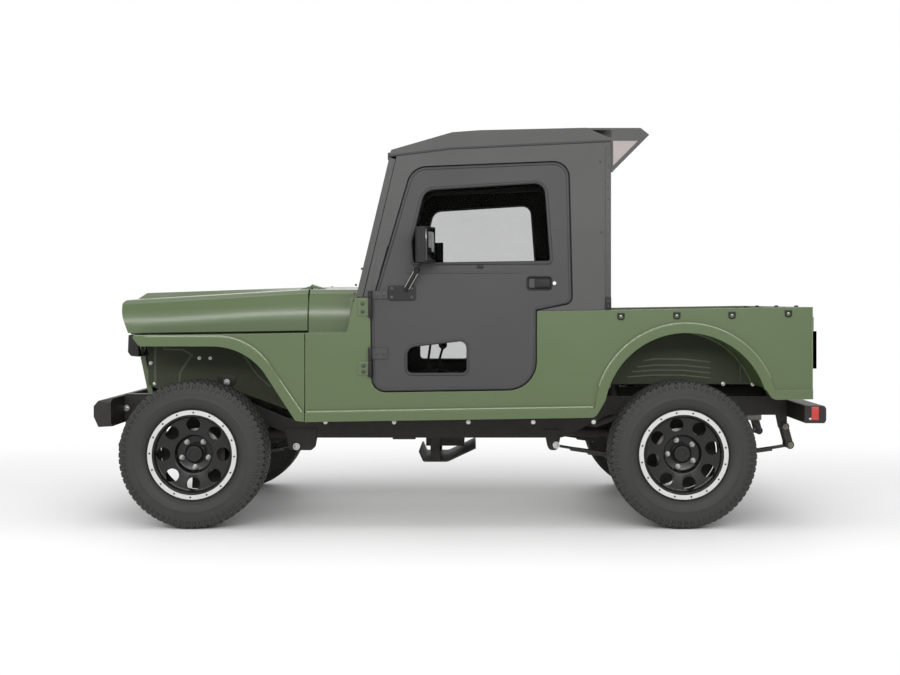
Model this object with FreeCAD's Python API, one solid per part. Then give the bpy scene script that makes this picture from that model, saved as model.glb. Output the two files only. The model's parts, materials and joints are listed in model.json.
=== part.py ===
# Light 4x4 utility car with an open load bed and a flat-sided half cab.
# The front points along -X, the car's left side along -Y, and up is +Z.
# The origin lies on the ground, in the middle of the car's length and width.
# All sizes are in millimetres. A station is a distance behind the front axle.
import FreeCAD, Part
import math
import os

Vector = FreeCAD.Vector

# Overall layout
WHEELBASE = 2438.0
FRONT_OVERHANG = 540.0
REAR_OVERHANG = 720.0
TRACK = 1350.0
BODY_HALF = 760.0
RAKE = 0.015

# Sheet walls and gaps
WALL = 22.0
SHEET = 18.0
LIP_WIDTH = 46.0
CORNER_ROUND = 18.0
LIP_PROUD = 14.0
PANEL_GAP = 6.0
SEAM_GAP = 4.0
FIT = 0.3

# Heights of the body lines over the front axle
SILL_Z = 522.0
SHOULDER_Z = 962.0
RAIL_Z = 1054.0
PILLAR_TOP_Z = 1134.0
REAR_SKIRT_Z = 597.0

# Stations along the body
SEAM_STATION = 560.0
PILLAR_STATION = 774.0
DOOR_STATION = 888.0
DOOR_LENGTH = 817.0
CAB_LENGTH = 1190.0
BODY_TAIL = 642.0

# Wheels and tyres
TYRE_RADIUS = 367.0
TYRE_WIDTH = 235.0
WHEEL_TURN = {"front": 0.0, "rear": 57.0}
CARCASS = 14.0
RIM_WIDTH = 190.0
FLANGE_RADIUS = 222.0
BEAD_RADIUS = 204.0
BARREL_WALL = 7.0
BRIGHT_RING = 30.0
DISH_THICKNESS = 9.0
RECESS_RADIUS = 90.0
RECESS_DEPTH = 78.0
WINDOW_COUNT = 8
WINDOW_RADIUS = 34.0
WINDOW_CIRCLE = 150.0
LUG_COUNT = 5
LUG_START = -18.0
LUG_CIRCLE = 69.85
LUG_RADIUS = 11.0
CAP_RADIUS = 32.0
DISC_RADIUS = 122.0
SPINDLE_RADIUS = 20.0

# Axles, springs and steering
AXLE_TUBE = 38.0
DIFF_RADIUS = 100.0
DIFF_OFFSET = 150.0
KINGPIN_INSET = 85.0
KNUCKLE_HEIGHT = 66.0
KNUCKLE_RADIUS = 27.0
YOKE_PLATE = 16.0
KINGPIN_RADIUS = 12.0
STEER_ARM = 140.0
TIE_ROD_RADIUS = 13.0
TIE_ROD_LIFT = 40.0
SPRING_WIDTH = 60.0
LEAF_THICKNESS = 8.0
LEAF_COUNT = 6
FRONT_SPRING_HALF = 450.0
REAR_SPRING_HALF = 623.0
SPRING_RISE = 56.0
EYE_RADIUS = 20.0
EYE_BOLT = 8.0
SHACKLE_LENGTH = 96.0
PERCH = 12.0
SHOCK_RADIUS = 26.0

# Ladder frame
RAIL_OUTER = 385.0
RAIL_WIDTH = 64.0
RAIL_DEPTH = 100.0
RAIL_MID_Z = 410.0
RAIL_FRONT_Z = 540.0
RAIL_REAR_Z = 530.0
RAIL_TAIL = 610.0

# Front wings, bonnet and cowl
WING_ARCH_STATION = 274.0
WING_ARCH_Z = 905.0
WING_ARCH_RADIUS = 315.0
APRON_Y = 430.0
APRON_LOW_Z = 560.0
HOOD_FRONT = 403.0
HOOD_STEP = 138.0
HOOD_TAPER = 0.02
HOOD_FLARE = 36.0
HOOD_ROLL = 236.0
HOOD_ROLL_SHARE = 0.55
HOOD_CREASE_Z = 1155.0
HOOD_SLOPE = 0.059
BULGE_HALF = 300.0
BULGE_RAMP = 34.0
BULGE_FRONT = 43.0
BULGE_REAR = 20.0
HOOD_LIFT = 10.0
NOSE_Z = 1042.0

# Half cab
SCREEN_STATION = 812.0
SCREEN_SLOPE = 0.239
SCREEN_THICKNESS = 32.0
SCREEN_TOP_Z = 1842.0
CAB_WALL = 30.0
CAB_BACK = 28.0
SCREEN_POST = 118.0
ROOF_REAR_Z = 1922.0
ROOF_BREAK_Z = 1886.0
ROOF_BREAK_STATION = 1288.0
ROOF_CROWN = 68.0
ROOF_FRONT_Z = 1850.0
ROOF_WALL = 28.0
ROOF_RAIL = 34.0
VISOR_REACH = 200.0
VISOR_DROP = 220.0
VISOR_BAND = 64.0
VISOR_EDGE = 26.0
GLASS = 5.0

# Floors
FLOOR_Z = 560.0
BED_Z = 700.0
RISER_STATION = 1830.0
WHEEL_BOX_INNER = 485.0
TUNNEL_HALF = 170.0
TUNNEL_TOP_Z = 720.0
ARCH_RADIUS = 408.0
ARCH_LIFT = 197.0

# Hinges
HINGE_OUT = 15.0
HINGE_RADIUS = 9.0
HINGE_PIN = 4.0
PIN_CLEARANCE = 0.1

FRONT_AXLE_X = FRONT_OVERHANG - (FRONT_OVERHANG + WHEELBASE + REAR_OVERHANG) / 2
REAR_AXLE_X = FRONT_AXLE_X + WHEELBASE
AXLE_Z = TYRE_RADIUS
INNER = BODY_HALF - WALL
HOOD_HALF = BODY_HALF - HOOD_STEP


def station(distance):
    return FRONT_AXLE_X + distance


SEAM_X = station(SEAM_STATION)
PILLAR_X = station(PILLAR_STATION)
DOOR_X = station(DOOR_STATION)
CAB_REAR_X = DOOR_X + CAB_LENGTH
BODY_REAR_X = REAR_AXLE_X + BODY_TAIL
ARCH_X = REAR_AXLE_X + 13.0
ARCH_Z = AXLE_Z + ARCH_LIFT
HINGE_X = DOOR_X - 4.0
HINGE_Y = BODY_HALF + HINGE_OUT
KINGPIN_Y = TRACK / 2 - KINGPIN_INSET
BUMPER_REAR_X = REAR_AXLE_X + REAR_OVERHANG - 2.0


def raked(z, x):
    """Height at x of a body line that is z high over the front axle."""
    return z + RAKE * (x - FRONT_AXLE_X)


# Shape helpers
def box(x0, x1, y0, y1, z0, z1):
    return Part.makeBox(x1 - x0, y1 - y0, z1 - z0, Vector(x0, y0, z0))


def rod(start, end, radius):
    start, end = Vector(*start), Vector(*end)
    return Part.makeCylinder(radius, start.distanceToPoint(end), start, end - start)


def tube_y(x, z, radius, y0, y1):
    return Part.makeCylinder(radius, y1 - y0, Vector(x, y0, z), Vector(0, 1, 0))


def join(shapes):
    whole = shapes[0].fuse(shapes[1:]) if len(shapes) > 1 else shapes[0]
    return whole.removeSplitter()


def outline(points, place):
    """Closed face whose corners (a, b) or (a, b, radius) are rounded; place(a, b) gives the 3-D point."""
    corners = []
    count = len(points)
    for i in range(count):
        a, b = points[i][:2]
        radius = points[i][2] if len(points[i]) > 2 else 0.0
        corner = Vector(a, b, 0)
        before = Vector(*points[i - 1][:2], 0) - corner
        after = Vector(*points[(i + 1) % count][:2], 0) - corner
        if radius <= 0:
            corners.append((corner, None, corner))
            continue
        before.normalize()
        after.normalize()
        half = math.acos(max(-1.0, min(1.0, before.dot(after)))) / 2
        reach = radius / math.tan(half)
        middle = before + after
        middle.normalize()
        mid = corner + middle * (radius / math.sin(half) - radius)
        corners.append((corner + before * reach, mid, corner + after * reach))
    edges = []
    for i in range(count):
        start, mid, end = corners[i]
        if mid is not None:
            edges.append(Part.Arc(*[place(p.x, p.y) for p in (start, mid, end)]).toShape())
        follow = corners[(i + 1) % count][0]
        if end.distanceToPoint(follow) > 1e-6:
            edges.append(Part.LineSegment(place(end.x, end.y), place(follow.x, follow.y)).toShape())
    return Part.Face(Part.Wire(edges))


def side_face(points, y=0.0):
    return outline(points, lambda a, b: Vector(a, y, b))


def side_plate(points, y0, y1):
    return side_face(points, y0).extrude(Vector(0, y1 - y0, 0))


def cross_plate(points, x0, x1):
    return outline(points, lambda a, b: Vector(x0, a, b)).extrude(Vector(x1 - x0, 0, 0))


def plan_plate(points, z0, z1):
    return outline(points, lambda a, b: Vector(a, b, z0)).extrude(Vector(0, 0, z1 - z0))


def grown_plate(points, grow, y0, y1):
    """Side plate whose outline is offset outwards by grow, or inwards where grow is negative."""
    face = side_face(points, y0)
    if abs(grow) > 1e-9:
        face = face.makeOffset2D(grow, 0, False, False, False)
    return face.extrude(Vector(0, y1 - y0, 0))


def upright_rounded(solid, x, y, radius):
    """Rounds the upright edges that stand at (x, y)."""
    found = [e for e in solid.Edges if all(math.hypot(v.X - x, v.Y - y) < 1 for v in e.Vertexes)]
    return solid.makeFillet(radius, found)


def mirrored(shape):
    return shape.mirror(Vector(0, 0, 0), Vector(0, 1, 0))


def both_sides(shape):
    return [shape, mirrored(shape)]


# Wheels
def turned(profile, y, side):
    """Solid turned about the wheel's axle from (offset outwards, radius) points; side is -1 or 1."""
    face = outline(profile, lambda a, b: Vector(0, a, b))
    solid = face.revolve(Vector(0, 0, 0), Vector(0, 1, 0), 360)
    if side < 0:
        solid = mirrored(solid)
    solid.translate(Vector(0, side * y, AXLE_Z))
    return solid


def tyre(axle_x, side):
    half = TYRE_WIDTH / 2
    seat = RIM_WIDTH / 2 - 10 - FIT
    tread = TYRE_RADIUS
    groove = tread - 8
    outer = [
        (-seat, BEAD_RADIUS), (-seat, FLANGE_RADIUS + 4, 6), (-half, 288, 60),
        (-half + 8, 338, 30), (-half + 30, tread - 3, 14),
    ]
    for centre in (-52, 0, 52):
        outer += [(centre - 5, tread), (centre - 4, groove), (centre + 4, groove), (centre + 5, tread)]
    outer += [
        (half - 30, tread - 3, 14), (half - 8, 338, 30), (half, 288, 60),
        (seat, FLANGE_RADIUS + 4, 6), (seat, BEAD_RADIUS),
    ]
    inner = [
        (seat - CARCASS, BEAD_RADIUS), (half - CARCASS - 2, 288, 50),
        (half - 36, tread - 22, 20), (-half + 36, tread - 22, 20),
        (-half + CARCASS + 2, 288, 50), (-seat + CARCASS, BEAD_RADIUS),
    ]
    solid = turned(outer + inner, TRACK / 2, side)
    solid.translate(Vector(axle_x, 0, 0))
    return solid


def wheel(axle_x, side, turn):
    """Deep-centred disc wheel with its round windows, lug nuts, cap and brake disc or drum."""
    edge = RIM_WIDTH / 2
    lip = FLANGE_RADIUS - BRIGHT_RING
    barrel = BEAD_RADIUS - FIT
    face = edge - 12
    plate = edge - RECESS_DEPTH
    profile = [
        (edge, lip), (edge, FLANGE_RADIUS, 3), (edge - 7, FLANGE_RADIUS, 3), (edge - 10, barrel),
        (-edge + 10, barrel), (-edge + 7, FLANGE_RADIUS, 3), (-edge, FLANGE_RADIUS, 3),
        (-edge, barrel - BARREL_WALL, 2), (face - 40, barrel - BARREL_WALL, 8),
        (face - DISH_THICKNESS - 4, lip - 14, 10), (face - DISH_THICKNESS - 14, RECESS_RADIUS + 8, 8),
        (plate - DISH_THICKNESS, RECESS_RADIUS + 4, 4),
        (plate - DISH_THICKNESS, SPINDLE_RADIUS + PIN_CLEARANCE), (plate + 20, SPINDLE_RADIUS + PIN_CLEARANCE),
        (plate + 20, 0), (plate + 34, 0), (plate + 34, CAP_RADIUS - 6, 4), (plate + 26, CAP_RADIUS, 4),
        (plate, CAP_RADIUS + 2), (plate, RECESS_RADIUS - 6, 6), (face - 12, RECESS_RADIUS, 10),
        (face, lip - 10, 14), (face, lip),
    ]
    solid = turned(profile, 0, side)
    rotor = turned(
        [(plate - DISH_THICKNESS, SPINDLE_RADIUS + PIN_CLEARANCE), (plate - DISH_THICKNESS, 66),
         (plate - 42, 66), (plate - 42, DISC_RADIUS), (plate - 60, DISC_RADIUS),
         (plate - 60, SPINDLE_RADIUS + PIN_CLEARANCE)], 0, side)
    windows = []
    for i in range(WINDOW_COUNT):
        angle = math.radians(turn + 360.0 * i / WINDOW_COUNT)
        x, z = WINDOW_CIRCLE * math.cos(angle), AXLE_Z + WINDOW_CIRCLE * math.sin(angle)
        windows.append(tube_y(x, z, WINDOW_RADIUS, min(0, side * edge), max(0, side * edge)))
    solid = solid.cut(windows)
    lugs = []
    for i in range(LUG_COUNT):
        angle = math.radians(turn + LUG_START + 360.0 * i / LUG_COUNT)
        x, z = LUG_CIRCLE * math.cos(angle), AXLE_Z + LUG_CIRCLE * math.sin(angle)
        ends = sorted((side * (plate - 2), side * (plate + 20)))
        lugs.append(tube_y(x, z, LUG_RADIUS, *ends))
    solid = join([solid, rotor] + lugs)
    solid.translate(Vector(axle_x, side * TRACK / 2, 0))
    return solid


# Axles, knuckles and steering links
HUB_FACE = TRACK / 2 + RIM_WIDTH / 2 - RECESS_DEPTH
SPINDLE_END = HUB_FACE + 19.0
ROTOR_INNER = HUB_FACE - 60.0
SPRING_Y = RAIL_OUTER - RAIL_WIDTH / 2
SPRING_TOP = AXLE_Z - AXLE_TUBE - PERCH
DAMPER_Y = RAIL_OUTER + 38.0
DAMPER_TOP_Z = 700.0
PACK = LEAF_THICKNESS * LEAF_COUNT
DAMPER_LOW_Z = SPRING_TOP - PACK - 6


def diff_housing(x, pinion):
    """Round differential case, flat cover on one side and pinion nose on the other."""
    ball = Part.makeSphere(DIFF_RADIUS, Vector(x, DIFF_OFFSET, AXLE_Z))
    slab = tube_y(x, AXLE_Z, DIFF_RADIUS + 1, DIFF_OFFSET - 74, DIFF_OFFSET + 74)
    nose = rod((x, DIFF_OFFSET, AXLE_Z), (x + pinion * 190, DIFF_OFFSET, AXLE_Z + 8), 42)
    flange = rod((x + pinion * 178, DIFF_OFFSET, AXLE_Z + 7.5), (x + pinion * 190, DIFF_OFFSET, AXLE_Z + 8), 55)
    return [ball.common(slab), nose, flange]


def spring_clamp(x, side):
    """Perch, U-bolts and the plate that clamp one spring pack under the axle tube."""
    y = side * SPRING_Y
    half = SPRING_WIDTH / 2
    bottom = SPRING_TOP - PACK - FIT
    pieces = [
        box(x - 42, x + 42, y - half, y + half, SPRING_TOP + 0.8, AXLE_Z - 20),
        box(x - 70, x + 70, y - half - 16, y + half + 16, bottom - 12, bottom),
        tube_y(x - math.copysign(60, x), DAMPER_LOW_Z, EYE_BOLT, *sorted((side * (SPRING_Y + half + 2), side * (DAMPER_Y + 22)))),
    ]
    for dy in (-half - 8, half + 8):
        for dx in (-AXLE_TUBE - 4, AXLE_TUBE + 4):
            pieces.append(rod((x + dx, y + dy, bottom - 24), (x + dx, y + dy, AXLE_Z), 6))
        bow = Part.makeTorus(AXLE_TUBE + 4, 6, Vector(x, y + dy, AXLE_Z), Vector(0, 1, 0))
        pieces.append(bow.common(box(x - 80, x + 80, y + dy - 10, y + dy + 10, AXLE_Z, AXLE_Z + 80)))
    return pieces


def front_axle():
    x = FRONT_AXLE_X
    tube_end = KINGPIN_Y - KNUCKLE_RADIUS - 14
    pieces = [tube_y(x, AXLE_Z, AXLE_TUBE, -tube_end, tube_end)]
    pieces += diff_housing(x, 1)
    for side in (-1, 1):
        pieces += spring_clamp(x, side)
        y = side * KINGPIN_Y
        inner = side * (tube_end - 18)
        low, high = sorted((inner, side * tube_end))
        pieces.append(box(x - 34, x + 34, low, high, AXLE_Z - 90, AXLE_Z + 90))
        for z in (AXLE_Z - KNUCKLE_HEIGHT - YOKE_PLATE - 2, AXLE_Z + KNUCKLE_HEIGHT + 2):
            low, high = sorted((inner, y))
            ear = box(x - 24, x + 24, low, high, z, z + YOKE_PLATE)
            ear = ear.fuse(Part.makeCylinder(24, YOKE_PLATE, Vector(x, y, z)))
            pieces.append(ear)
    beam = join(pieces)
    holes = [
        Part.makeCylinder(KINGPIN_RADIUS + PIN_CLEARANCE, 300, Vector(x, side * KINGPIN_Y, AXLE_Z - 150))
        for side in (-1, 1)
    ]
    return beam.cut(holes)


def rear_axle():
    x = REAR_AXLE_X
    end = ROTOR_INNER - 6
    pieces = [tube_y(x, AXLE_Z, AXLE_TUBE, -end, end)]
    pieces += diff_housing(x, -1)
    for side in (-1, 1):
        pieces += spring_clamp(x, side)
        low, high = sorted((side * (end - 12), side * end))
        pieces.append(tube_y(x, AXLE_Z, 96, low, high))
        low, high = sorted((side * end, side * SPINDLE_END))
        pieces.append(tube_y(x, AXLE_Z, SPINDLE_RADIUS, low, high))
    return join(pieces)


def knuckle(side):
    """Upright with its kingpins, stub spindle, brake caliper and steering arm."""
    x, y = FRONT_AXLE_X, side * KINGPIN_Y
    reach = KNUCKLE_HEIGHT + YOKE_PLATE + 6
    barrel = Part.makeCylinder(KNUCKLE_RADIUS, 2 * KNUCKLE_HEIGHT, Vector(x, y, AXLE_Z - KNUCKLE_HEIGHT))
    pins = Part.makeCylinder(KINGPIN_RADIUS, 2 * reach, Vector(x, y, AXLE_Z - reach))
    low, high = sorted((y, side * (ROTOR_INNER - 6)))
    boss = tube_y(x, AXLE_Z, 40, low, high)
    low, high = sorted((y, side * SPINDLE_END))
    spindle = tube_y(x, AXLE_Z, SPINDLE_RADIUS, low, high)
    z = AXLE_Z + TIE_ROD_LIFT
    arm = plan_plate(
        [(x - STEER_ARM - 20, y - 16, 14), (x, y - 22), (x, y + 22), (x - STEER_ARM - 20, y + 16, 14)],
        z - 28, z - 14)
    pin = Part.makeCylinder(9, 46, Vector(x - STEER_ARM, y, z - 28))
    low, high = sorted((side * (ROTOR_INNER - 26), side * (ROTOR_INNER - 4)))
    grip_inner = box(x + 30, x + DISC_RADIUS + 22, low, high, AXLE_Z - 40, AXLE_Z + 40)
    low, high = sorted((side * (ROTOR_INNER - 26), side * (ROTOR_INNER + 40)))
    grip_bridge = box(x + DISC_RADIUS + 6, x + DISC_RADIUS + 22, low, high, AXLE_Z - 40, AXLE_Z + 40)
    low, high = sorted((side * (ROTOR_INNER + 23), side * (ROTOR_INNER + 40)))
    grip_outer = box(x + 84, x + DISC_RADIUS + 22, low, high, AXLE_Z - 40, AXLE_Z + 40)
    return join([barrel, pins, boss, spindle, arm, pin, grip_inner, grip_bridge, grip_outer])


def tie_rod():
    x, z = FRONT_AXLE_X - STEER_ARM, AXLE_Z + TIE_ROD_LIFT
    bar = tube_y(x, z, TIE_ROD_RADIUS, -KINGPIN_Y + 12, KINGPIN_Y - 12)
    eyes = [Part.makeCylinder(20, 26, Vector(x, side * KINGPIN_Y, z - 13)) for side in (-1, 1)]
    holes = [Part.makeCylinder(9 + PIN_CLEARANCE, 40, Vector(x, side * KINGPIN_Y, z - 20)) for side in (-1, 1)]
    return join([bar] + eyes).cut(holes)


# Leaf springs, shackles and dampers
def leaf_pack(axle_x, half_length, side):
    """Stack of curved leaves, the longest on top with an eye at each end."""
    y0 = side * SPRING_Y - SPRING_WIDTH / 2
    radius = (half_length ** 2 + SPRING_RISE ** 2) / (2 * SPRING_RISE)
    centre_z = SPRING_TOP + radius
    leaves = []

    def at(r, angle):
        return Vector(axle_x + r * math.sin(angle), y0, centre_z - r * math.cos(angle))

    for i in range(LEAF_COUNT):
        top, low = radius + i * LEAF_THICKNESS, radius + (i + 1) * LEAF_THICKNESS
        span = math.asin(half_length * (1 - 0.15 * i) / radius)
        edges = [
            Part.Arc(at(top, -span), at(top, 0), at(top, span)).toShape(),
            Part.LineSegment(at(top, span), at(low, span)).toShape(),
            Part.Arc(at(low, span), at(low, 0), at(low, -span)).toShape(),
            Part.LineSegment(at(low, -span), at(top, -span)).toShape(),
        ]
        leaves.append(Part.Face(Part.Wire(edges)).extrude(Vector(0, SPRING_WIDTH, 0)))
    holes = []
    for end in (-1, 1):
        x, z = axle_x + end * half_length, SPRING_TOP + SPRING_RISE
        leaves.append(tube_y(x, z, EYE_RADIUS, y0, y0 + SPRING_WIDTH))
        holes.append(tube_y(x, z, EYE_BOLT + FIT, y0 - 1, y0 + SPRING_WIDTH + 1))
    return join(leaves).cut(holes)


SPRING_EYE_Z = SPRING_TOP + SPRING_RISE
SHACKLE_TOP_Z = SPRING_EYE_Z + SHACKLE_LENGTH


def hanger(x, z, rail_z, side, tail=46.0):
    """Two ears below the rail, tail long behind the bolt that holds a spring eye between them."""
    y = side * SPRING_Y
    inner = SPRING_WIDTH / 2 + 0.6
    pieces = []
    for y0, y1 in ((y - inner - 8, y - inner), (y + inner, y + inner + 8)):
        ear = side_plate(
            [(x - 46, rail_z + 44), (x + tail, rail_z + 44), (x + tail - 22, z - 28, 22), (x - 24, z - 28, 22)],
            y0, y1)
        pieces.append(ear)
    pieces.append(tube_y(x, z, EYE_BOLT, y - inner - 14, y + inner + 14))
    return pieces


def shackle(x, top_x, side):
    """Pair of swinging plates from the spring's eye up to the frame's pivot."""
    y = side * SPRING_Y
    inner = SPRING_WIDTH / 2 + 0.6
    pieces = []
    for y0, y1 in ((y - inner - 7, y - inner), (y + inner, y + inner + 7)):
        low = tube_y(x, SPRING_EYE_Z, 22, y0, y1)
        high = tube_y(top_x, SHACKLE_TOP_Z, 22, y0, y1)
        lean = math.atan2(top_x - x, SHACKLE_LENGTH)
        dx, dz = 18 * math.cos(lean), -18 * math.sin(lean)
        bar = side_plate(
            [(x - dx, SPRING_EYE_Z - dz), (x + dx, SPRING_EYE_Z + dz),
             (top_x + dx, SHACKLE_TOP_Z + dz), (top_x - dx, SHACKLE_TOP_Z - dz)], y0, y1)
        pieces += [low, high, bar]
    for px, pz in ((x, SPRING_EYE_Z), (top_x, SHACKLE_TOP_Z)):
        pieces.append(tube_y(px, pz, EYE_BOLT, y - inner - 14, y + inner + 14))
    return join(pieces)


FRONT_SHACKLE_X = FRONT_AXLE_X - FRONT_SPRING_HALF
REAR_SHACKLE_X = REAR_AXLE_X + REAR_SPRING_HALF
SHACKLE_LEAN = 26.0
RAIL_NOSE_X = station(-438)


def damper(x_low, z_low, x_top, z_top, side):
    y = side * DAMPER_Y
    low, top = Vector(x_low, y, z_low), Vector(x_top, y, z_top)
    step = (top - low).normalize()
    top, low = top - step * 18, low + step * 18
    middle = low + (top - low) * 0.48
    body = rod(low, middle, SHOCK_RADIUS - 4).fuse(rod(middle, top, SHOCK_RADIUS))
    places = ((x_low, z_low), (x_top, z_top))
    eyes = [tube_y(px, pz, 22, y - 18, y + 18) for px, pz in places]
    holes = [tube_y(px, pz, EYE_BOLT + FIT, y - 40, y + 40) for px, pz in places]
    return join([body] + eyes).cut(holes)


FRONT_DAMPER_X = FRONT_AXLE_X + 91.0
REAR_DAMPER_X = REAR_AXLE_X - 120.0


def dampers():
    solids = []
    for side in (-1, 1):
        solids.append(damper(FRONT_AXLE_X + 60, DAMPER_LOW_Z, FRONT_DAMPER_X, DAMPER_TOP_Z, side))
        solids.append(damper(REAR_AXLE_X - 60, DAMPER_LOW_Z, REAR_DAMPER_X, BED_Z - 60, side))
    return solids


# Ladder frame
def rail_profile():
    """Side outline of one rail: raised over both axles and low under the cab."""
    low, top = RAIL_MID_Z, RAIL_MID_Z + RAIL_DEPTH
    rear_end = REAR_AXLE_X + RAIL_TAIL
    return [
        (RAIL_NOSE_X, RAIL_FRONT_Z + RAIL_DEPTH),
        (station(120), RAIL_FRONT_Z + RAIL_DEPTH, 120), (station(430), top, 120),
        (REAR_AXLE_X - 620, top, 120), (REAR_AXLE_X - 380, RAIL_REAR_Z + RAIL_DEPTH, 120),
        (rear_end, RAIL_REAR_Z + RAIL_DEPTH), (rear_end, RAIL_REAR_Z), (REAR_AXLE_X - 330, RAIL_REAR_Z, 120),
        (REAR_AXLE_X - 570, low, 120), (station(470), low, 120), (station(160), RAIL_FRONT_Z, 120),
        (RAIL_NOSE_X, RAIL_FRONT_Z),
    ]


RAIL_INNER = RAIL_OUTER - RAIL_WIDTH
BODY_MOUNTS = [(station(700), FLOOR_Z), (station(1250), FLOOR_Z), (station(1700), FLOOR_Z),
               (REAR_AXLE_X - 300, BED_Z), (REAR_AXLE_X + 100, BED_Z), (REAR_AXLE_X + 520, BED_Z)]


def frame_rail(side):
    """One kicked-up rail with its spring hangers, damper pins and body mounts."""
    low, high = sorted((side * RAIL_INNER, side * RAIL_OUTER))
    pieces = [side_plate(rail_profile(), low, high)]
    pieces += hanger(FRONT_AXLE_X + FRONT_SPRING_HALF, SPRING_EYE_Z, RAIL_MID_Z + 6, side, 126.0)
    pieces += hanger(REAR_AXLE_X - REAR_SPRING_HALF, SPRING_EYE_Z, RAIL_MID_Z, side)
    y = side * SPRING_Y
    half = SPRING_WIDTH / 2 - 1
    for x, rail_z, x0, x1 in ((FRONT_SHACKLE_X + SHACKLE_LEAN + 8, RAIL_FRONT_Z - 12, -22, 40),
                              (REAR_SHACKLE_X - SHACKLE_LEAN, RAIL_REAR_Z, -40, 12)):
        boss = side_plate(
            [(x + x0, rail_z + 16), (x + x1, rail_z + 16), (x + min(20, x1), SHACKLE_TOP_Z - 20, 11),
             (x - 20, SHACKLE_TOP_Z - 20, 18)], y - half, y + half)
        pieces.append(boss.cut(tube_y(x, SHACKLE_TOP_Z, EYE_BOLT + FIT, y - 40, y + 40)))
    for x, z in ((FRONT_DAMPER_X, DAMPER_TOP_Z), (REAR_DAMPER_X, BED_Z - 60)):
        low, high = sorted((side * (RAIL_OUTER - 4), side * (RAIL_OUTER + 8)))
        pieces.append(side_plate([(x - 40, z - 90), (x + 40, z - 90), (x + 20, z + 22, 16),
                                  (x - 20, z + 22, 16)], low, high))
        low, high = sorted((side * (RAIL_OUTER + 4), side * (DAMPER_Y + 22)))
        pieces.append(tube_y(x, z, EYE_BOLT, low, high))
    for x, top in BODY_MOUNTS:
        base = (RAIL_MID_Z if top == FLOOR_Z else RAIL_REAR_Z) + RAIL_DEPTH
        pieces.append(Part.makeCylinder(28, top - base + 2, Vector(x, y, base - 2)))
    return join(pieces)


def crossmembers():
    """Tubes and channels between the rails, from the front one behind the bumper to the tail."""
    members = []
    for x0, x1, z0, z1 in (
        (RAIL_NOSE_X, RAIL_NOSE_X + 38, RAIL_FRONT_Z, RAIL_FRONT_Z + 70),
        (station(-300), station(-240), RAIL_FRONT_Z, RAIL_FRONT_Z + 60),
        (station(500), station(556), RAIL_MID_Z + 54, RAIL_MID_Z + 82),
        (REAR_AXLE_X - 572, REAR_AXLE_X - 512, RAIL_MID_Z + 18, RAIL_MID_Z + 88),
        (REAR_AXLE_X + 110, REAR_AXLE_X + 180, RAIL_REAR_Z + 20, RAIL_REAR_Z + 90),
        (REAR_AXLE_X + RAIL_TAIL - 65, REAR_AXLE_X + RAIL_TAIL, RAIL_REAR_Z, RAIL_REAR_Z + RAIL_DEPTH),
    ):
        members.append(box(x0, x1, -RAIL_INNER, RAIL_INNER, z0, z1))
    return members


SKID_LOW_Z = 262.0
SKID_WALL = 10.0


def skid_plate():
    """Shallow tray with a raised tail under the transfer case, on a folded strap between the rails."""
    top = RAIL_MID_Z + 20
    outer = [(-RAIL_INNER, top), (-230, SKID_LOW_Z, 40), (250, SKID_LOW_Z, 40), (RAIL_INNER, top)]
    low = SKID_LOW_Z + SKID_WALL
    inner = [(RAIL_INNER - 16, top), (243, low, 34), (-223, low, 34), (-RAIL_INNER + 16, top)]
    strap = cross_plate(outer + inner, station(1165), station(1215))
    s = station
    tray = side_plate(
        [(s(1100), 318), (s(1124), SKID_LOW_Z, 16), (s(1256), SKID_LOW_Z, 60), (s(1409), 334), (s(1406), 344),
         (s(1254), low, 60), (s(1130), low, 8), (s(1109), 321)], -226, 240)
    return join([strap, tray])


# Drive line, exhaust and fuel tank
def powertrain():
    block = box(station(-60), station(450), -165, 165, 640, 980).cut(
        box(station(-70), station(460), 90, 200, 860, 1000))
    sump = box(station(90), station(400), -130, 60, 540, 650)
    bell = rod((station(445), 0, 640), (station(530), 0, 600), 105)
    gears = box(station(560), station(1140), -95, 95, 480, 650)
    pan = box(station(950), station(1075), -70, 70, 366, 490)
    tail = rod((station(520), 0, 600), (station(570), 0, 580), 80)
    transfer = box(station(TRANSFER_START), station(TRANSFER_END), -100, 215, 334, 535)
    ends = [tube_for_shaft(station(TRANSFER_START - 25), station(TRANSFER_START + 1)),
            tube_for_shaft(station(TRANSFER_END - 1), station(TRANSFER_END + 25))]
    mounts = [box(station(180), station(240), *sorted((side * 150, side * 330)), 640, 664) for side in (-1, 1)]
    feet = [box(station(180), station(240), *sorted((side * 326, side * 380)), 634, 664) for side in (-1, 1)]
    saddle = box(station(700), station(760), -200, 200, 452, 482)
    return join([block, sump, bell, gears, pan, tail, transfer] + ends + mounts + feet + [saddle])


SHAFT_Z = 420.0
TRANSFER_START = 1135.0
TRANSFER_END = 1345.0


def tube_for_shaft(x0, x1):
    return rod((x0, DIFF_OFFSET, SHAFT_Z), (x1, DIFF_OFFSET, SHAFT_Z), 48)


def propshafts():
    shafts = []
    for start, end in (
        ((station(TRANSFER_START - 25) - FIT, SHAFT_Z), (FRONT_AXLE_X + 190 + FIT, AXLE_Z + 8)),
        ((station(TRANSFER_END + 25) + FIT, SHAFT_Z), (REAR_AXLE_X - 190 - FIT, AXLE_Z + 8)),
    ):
        a, b = Vector(start[0], DIFF_OFFSET, start[1]), Vector(end[0], DIFF_OFFSET, end[1])
        step = (b - a).normalize()
        pieces = [rod(a + step * 20, b - step * 20, 28), rod(a + step * 6, a + step * 34, 44),
                  rod(b - step * 34, b - step * 6, 44)]
        pieces += [rod(a, a + step * 10, 36), rod(b - step * 10, b, 36)]
        slim = [box(min(start[0], end[0]), max(start[0], end[0]), 0, 300, 200, 600)]
        shafts.append(join(pieces).common(slim[0]))
    return shafts


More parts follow.
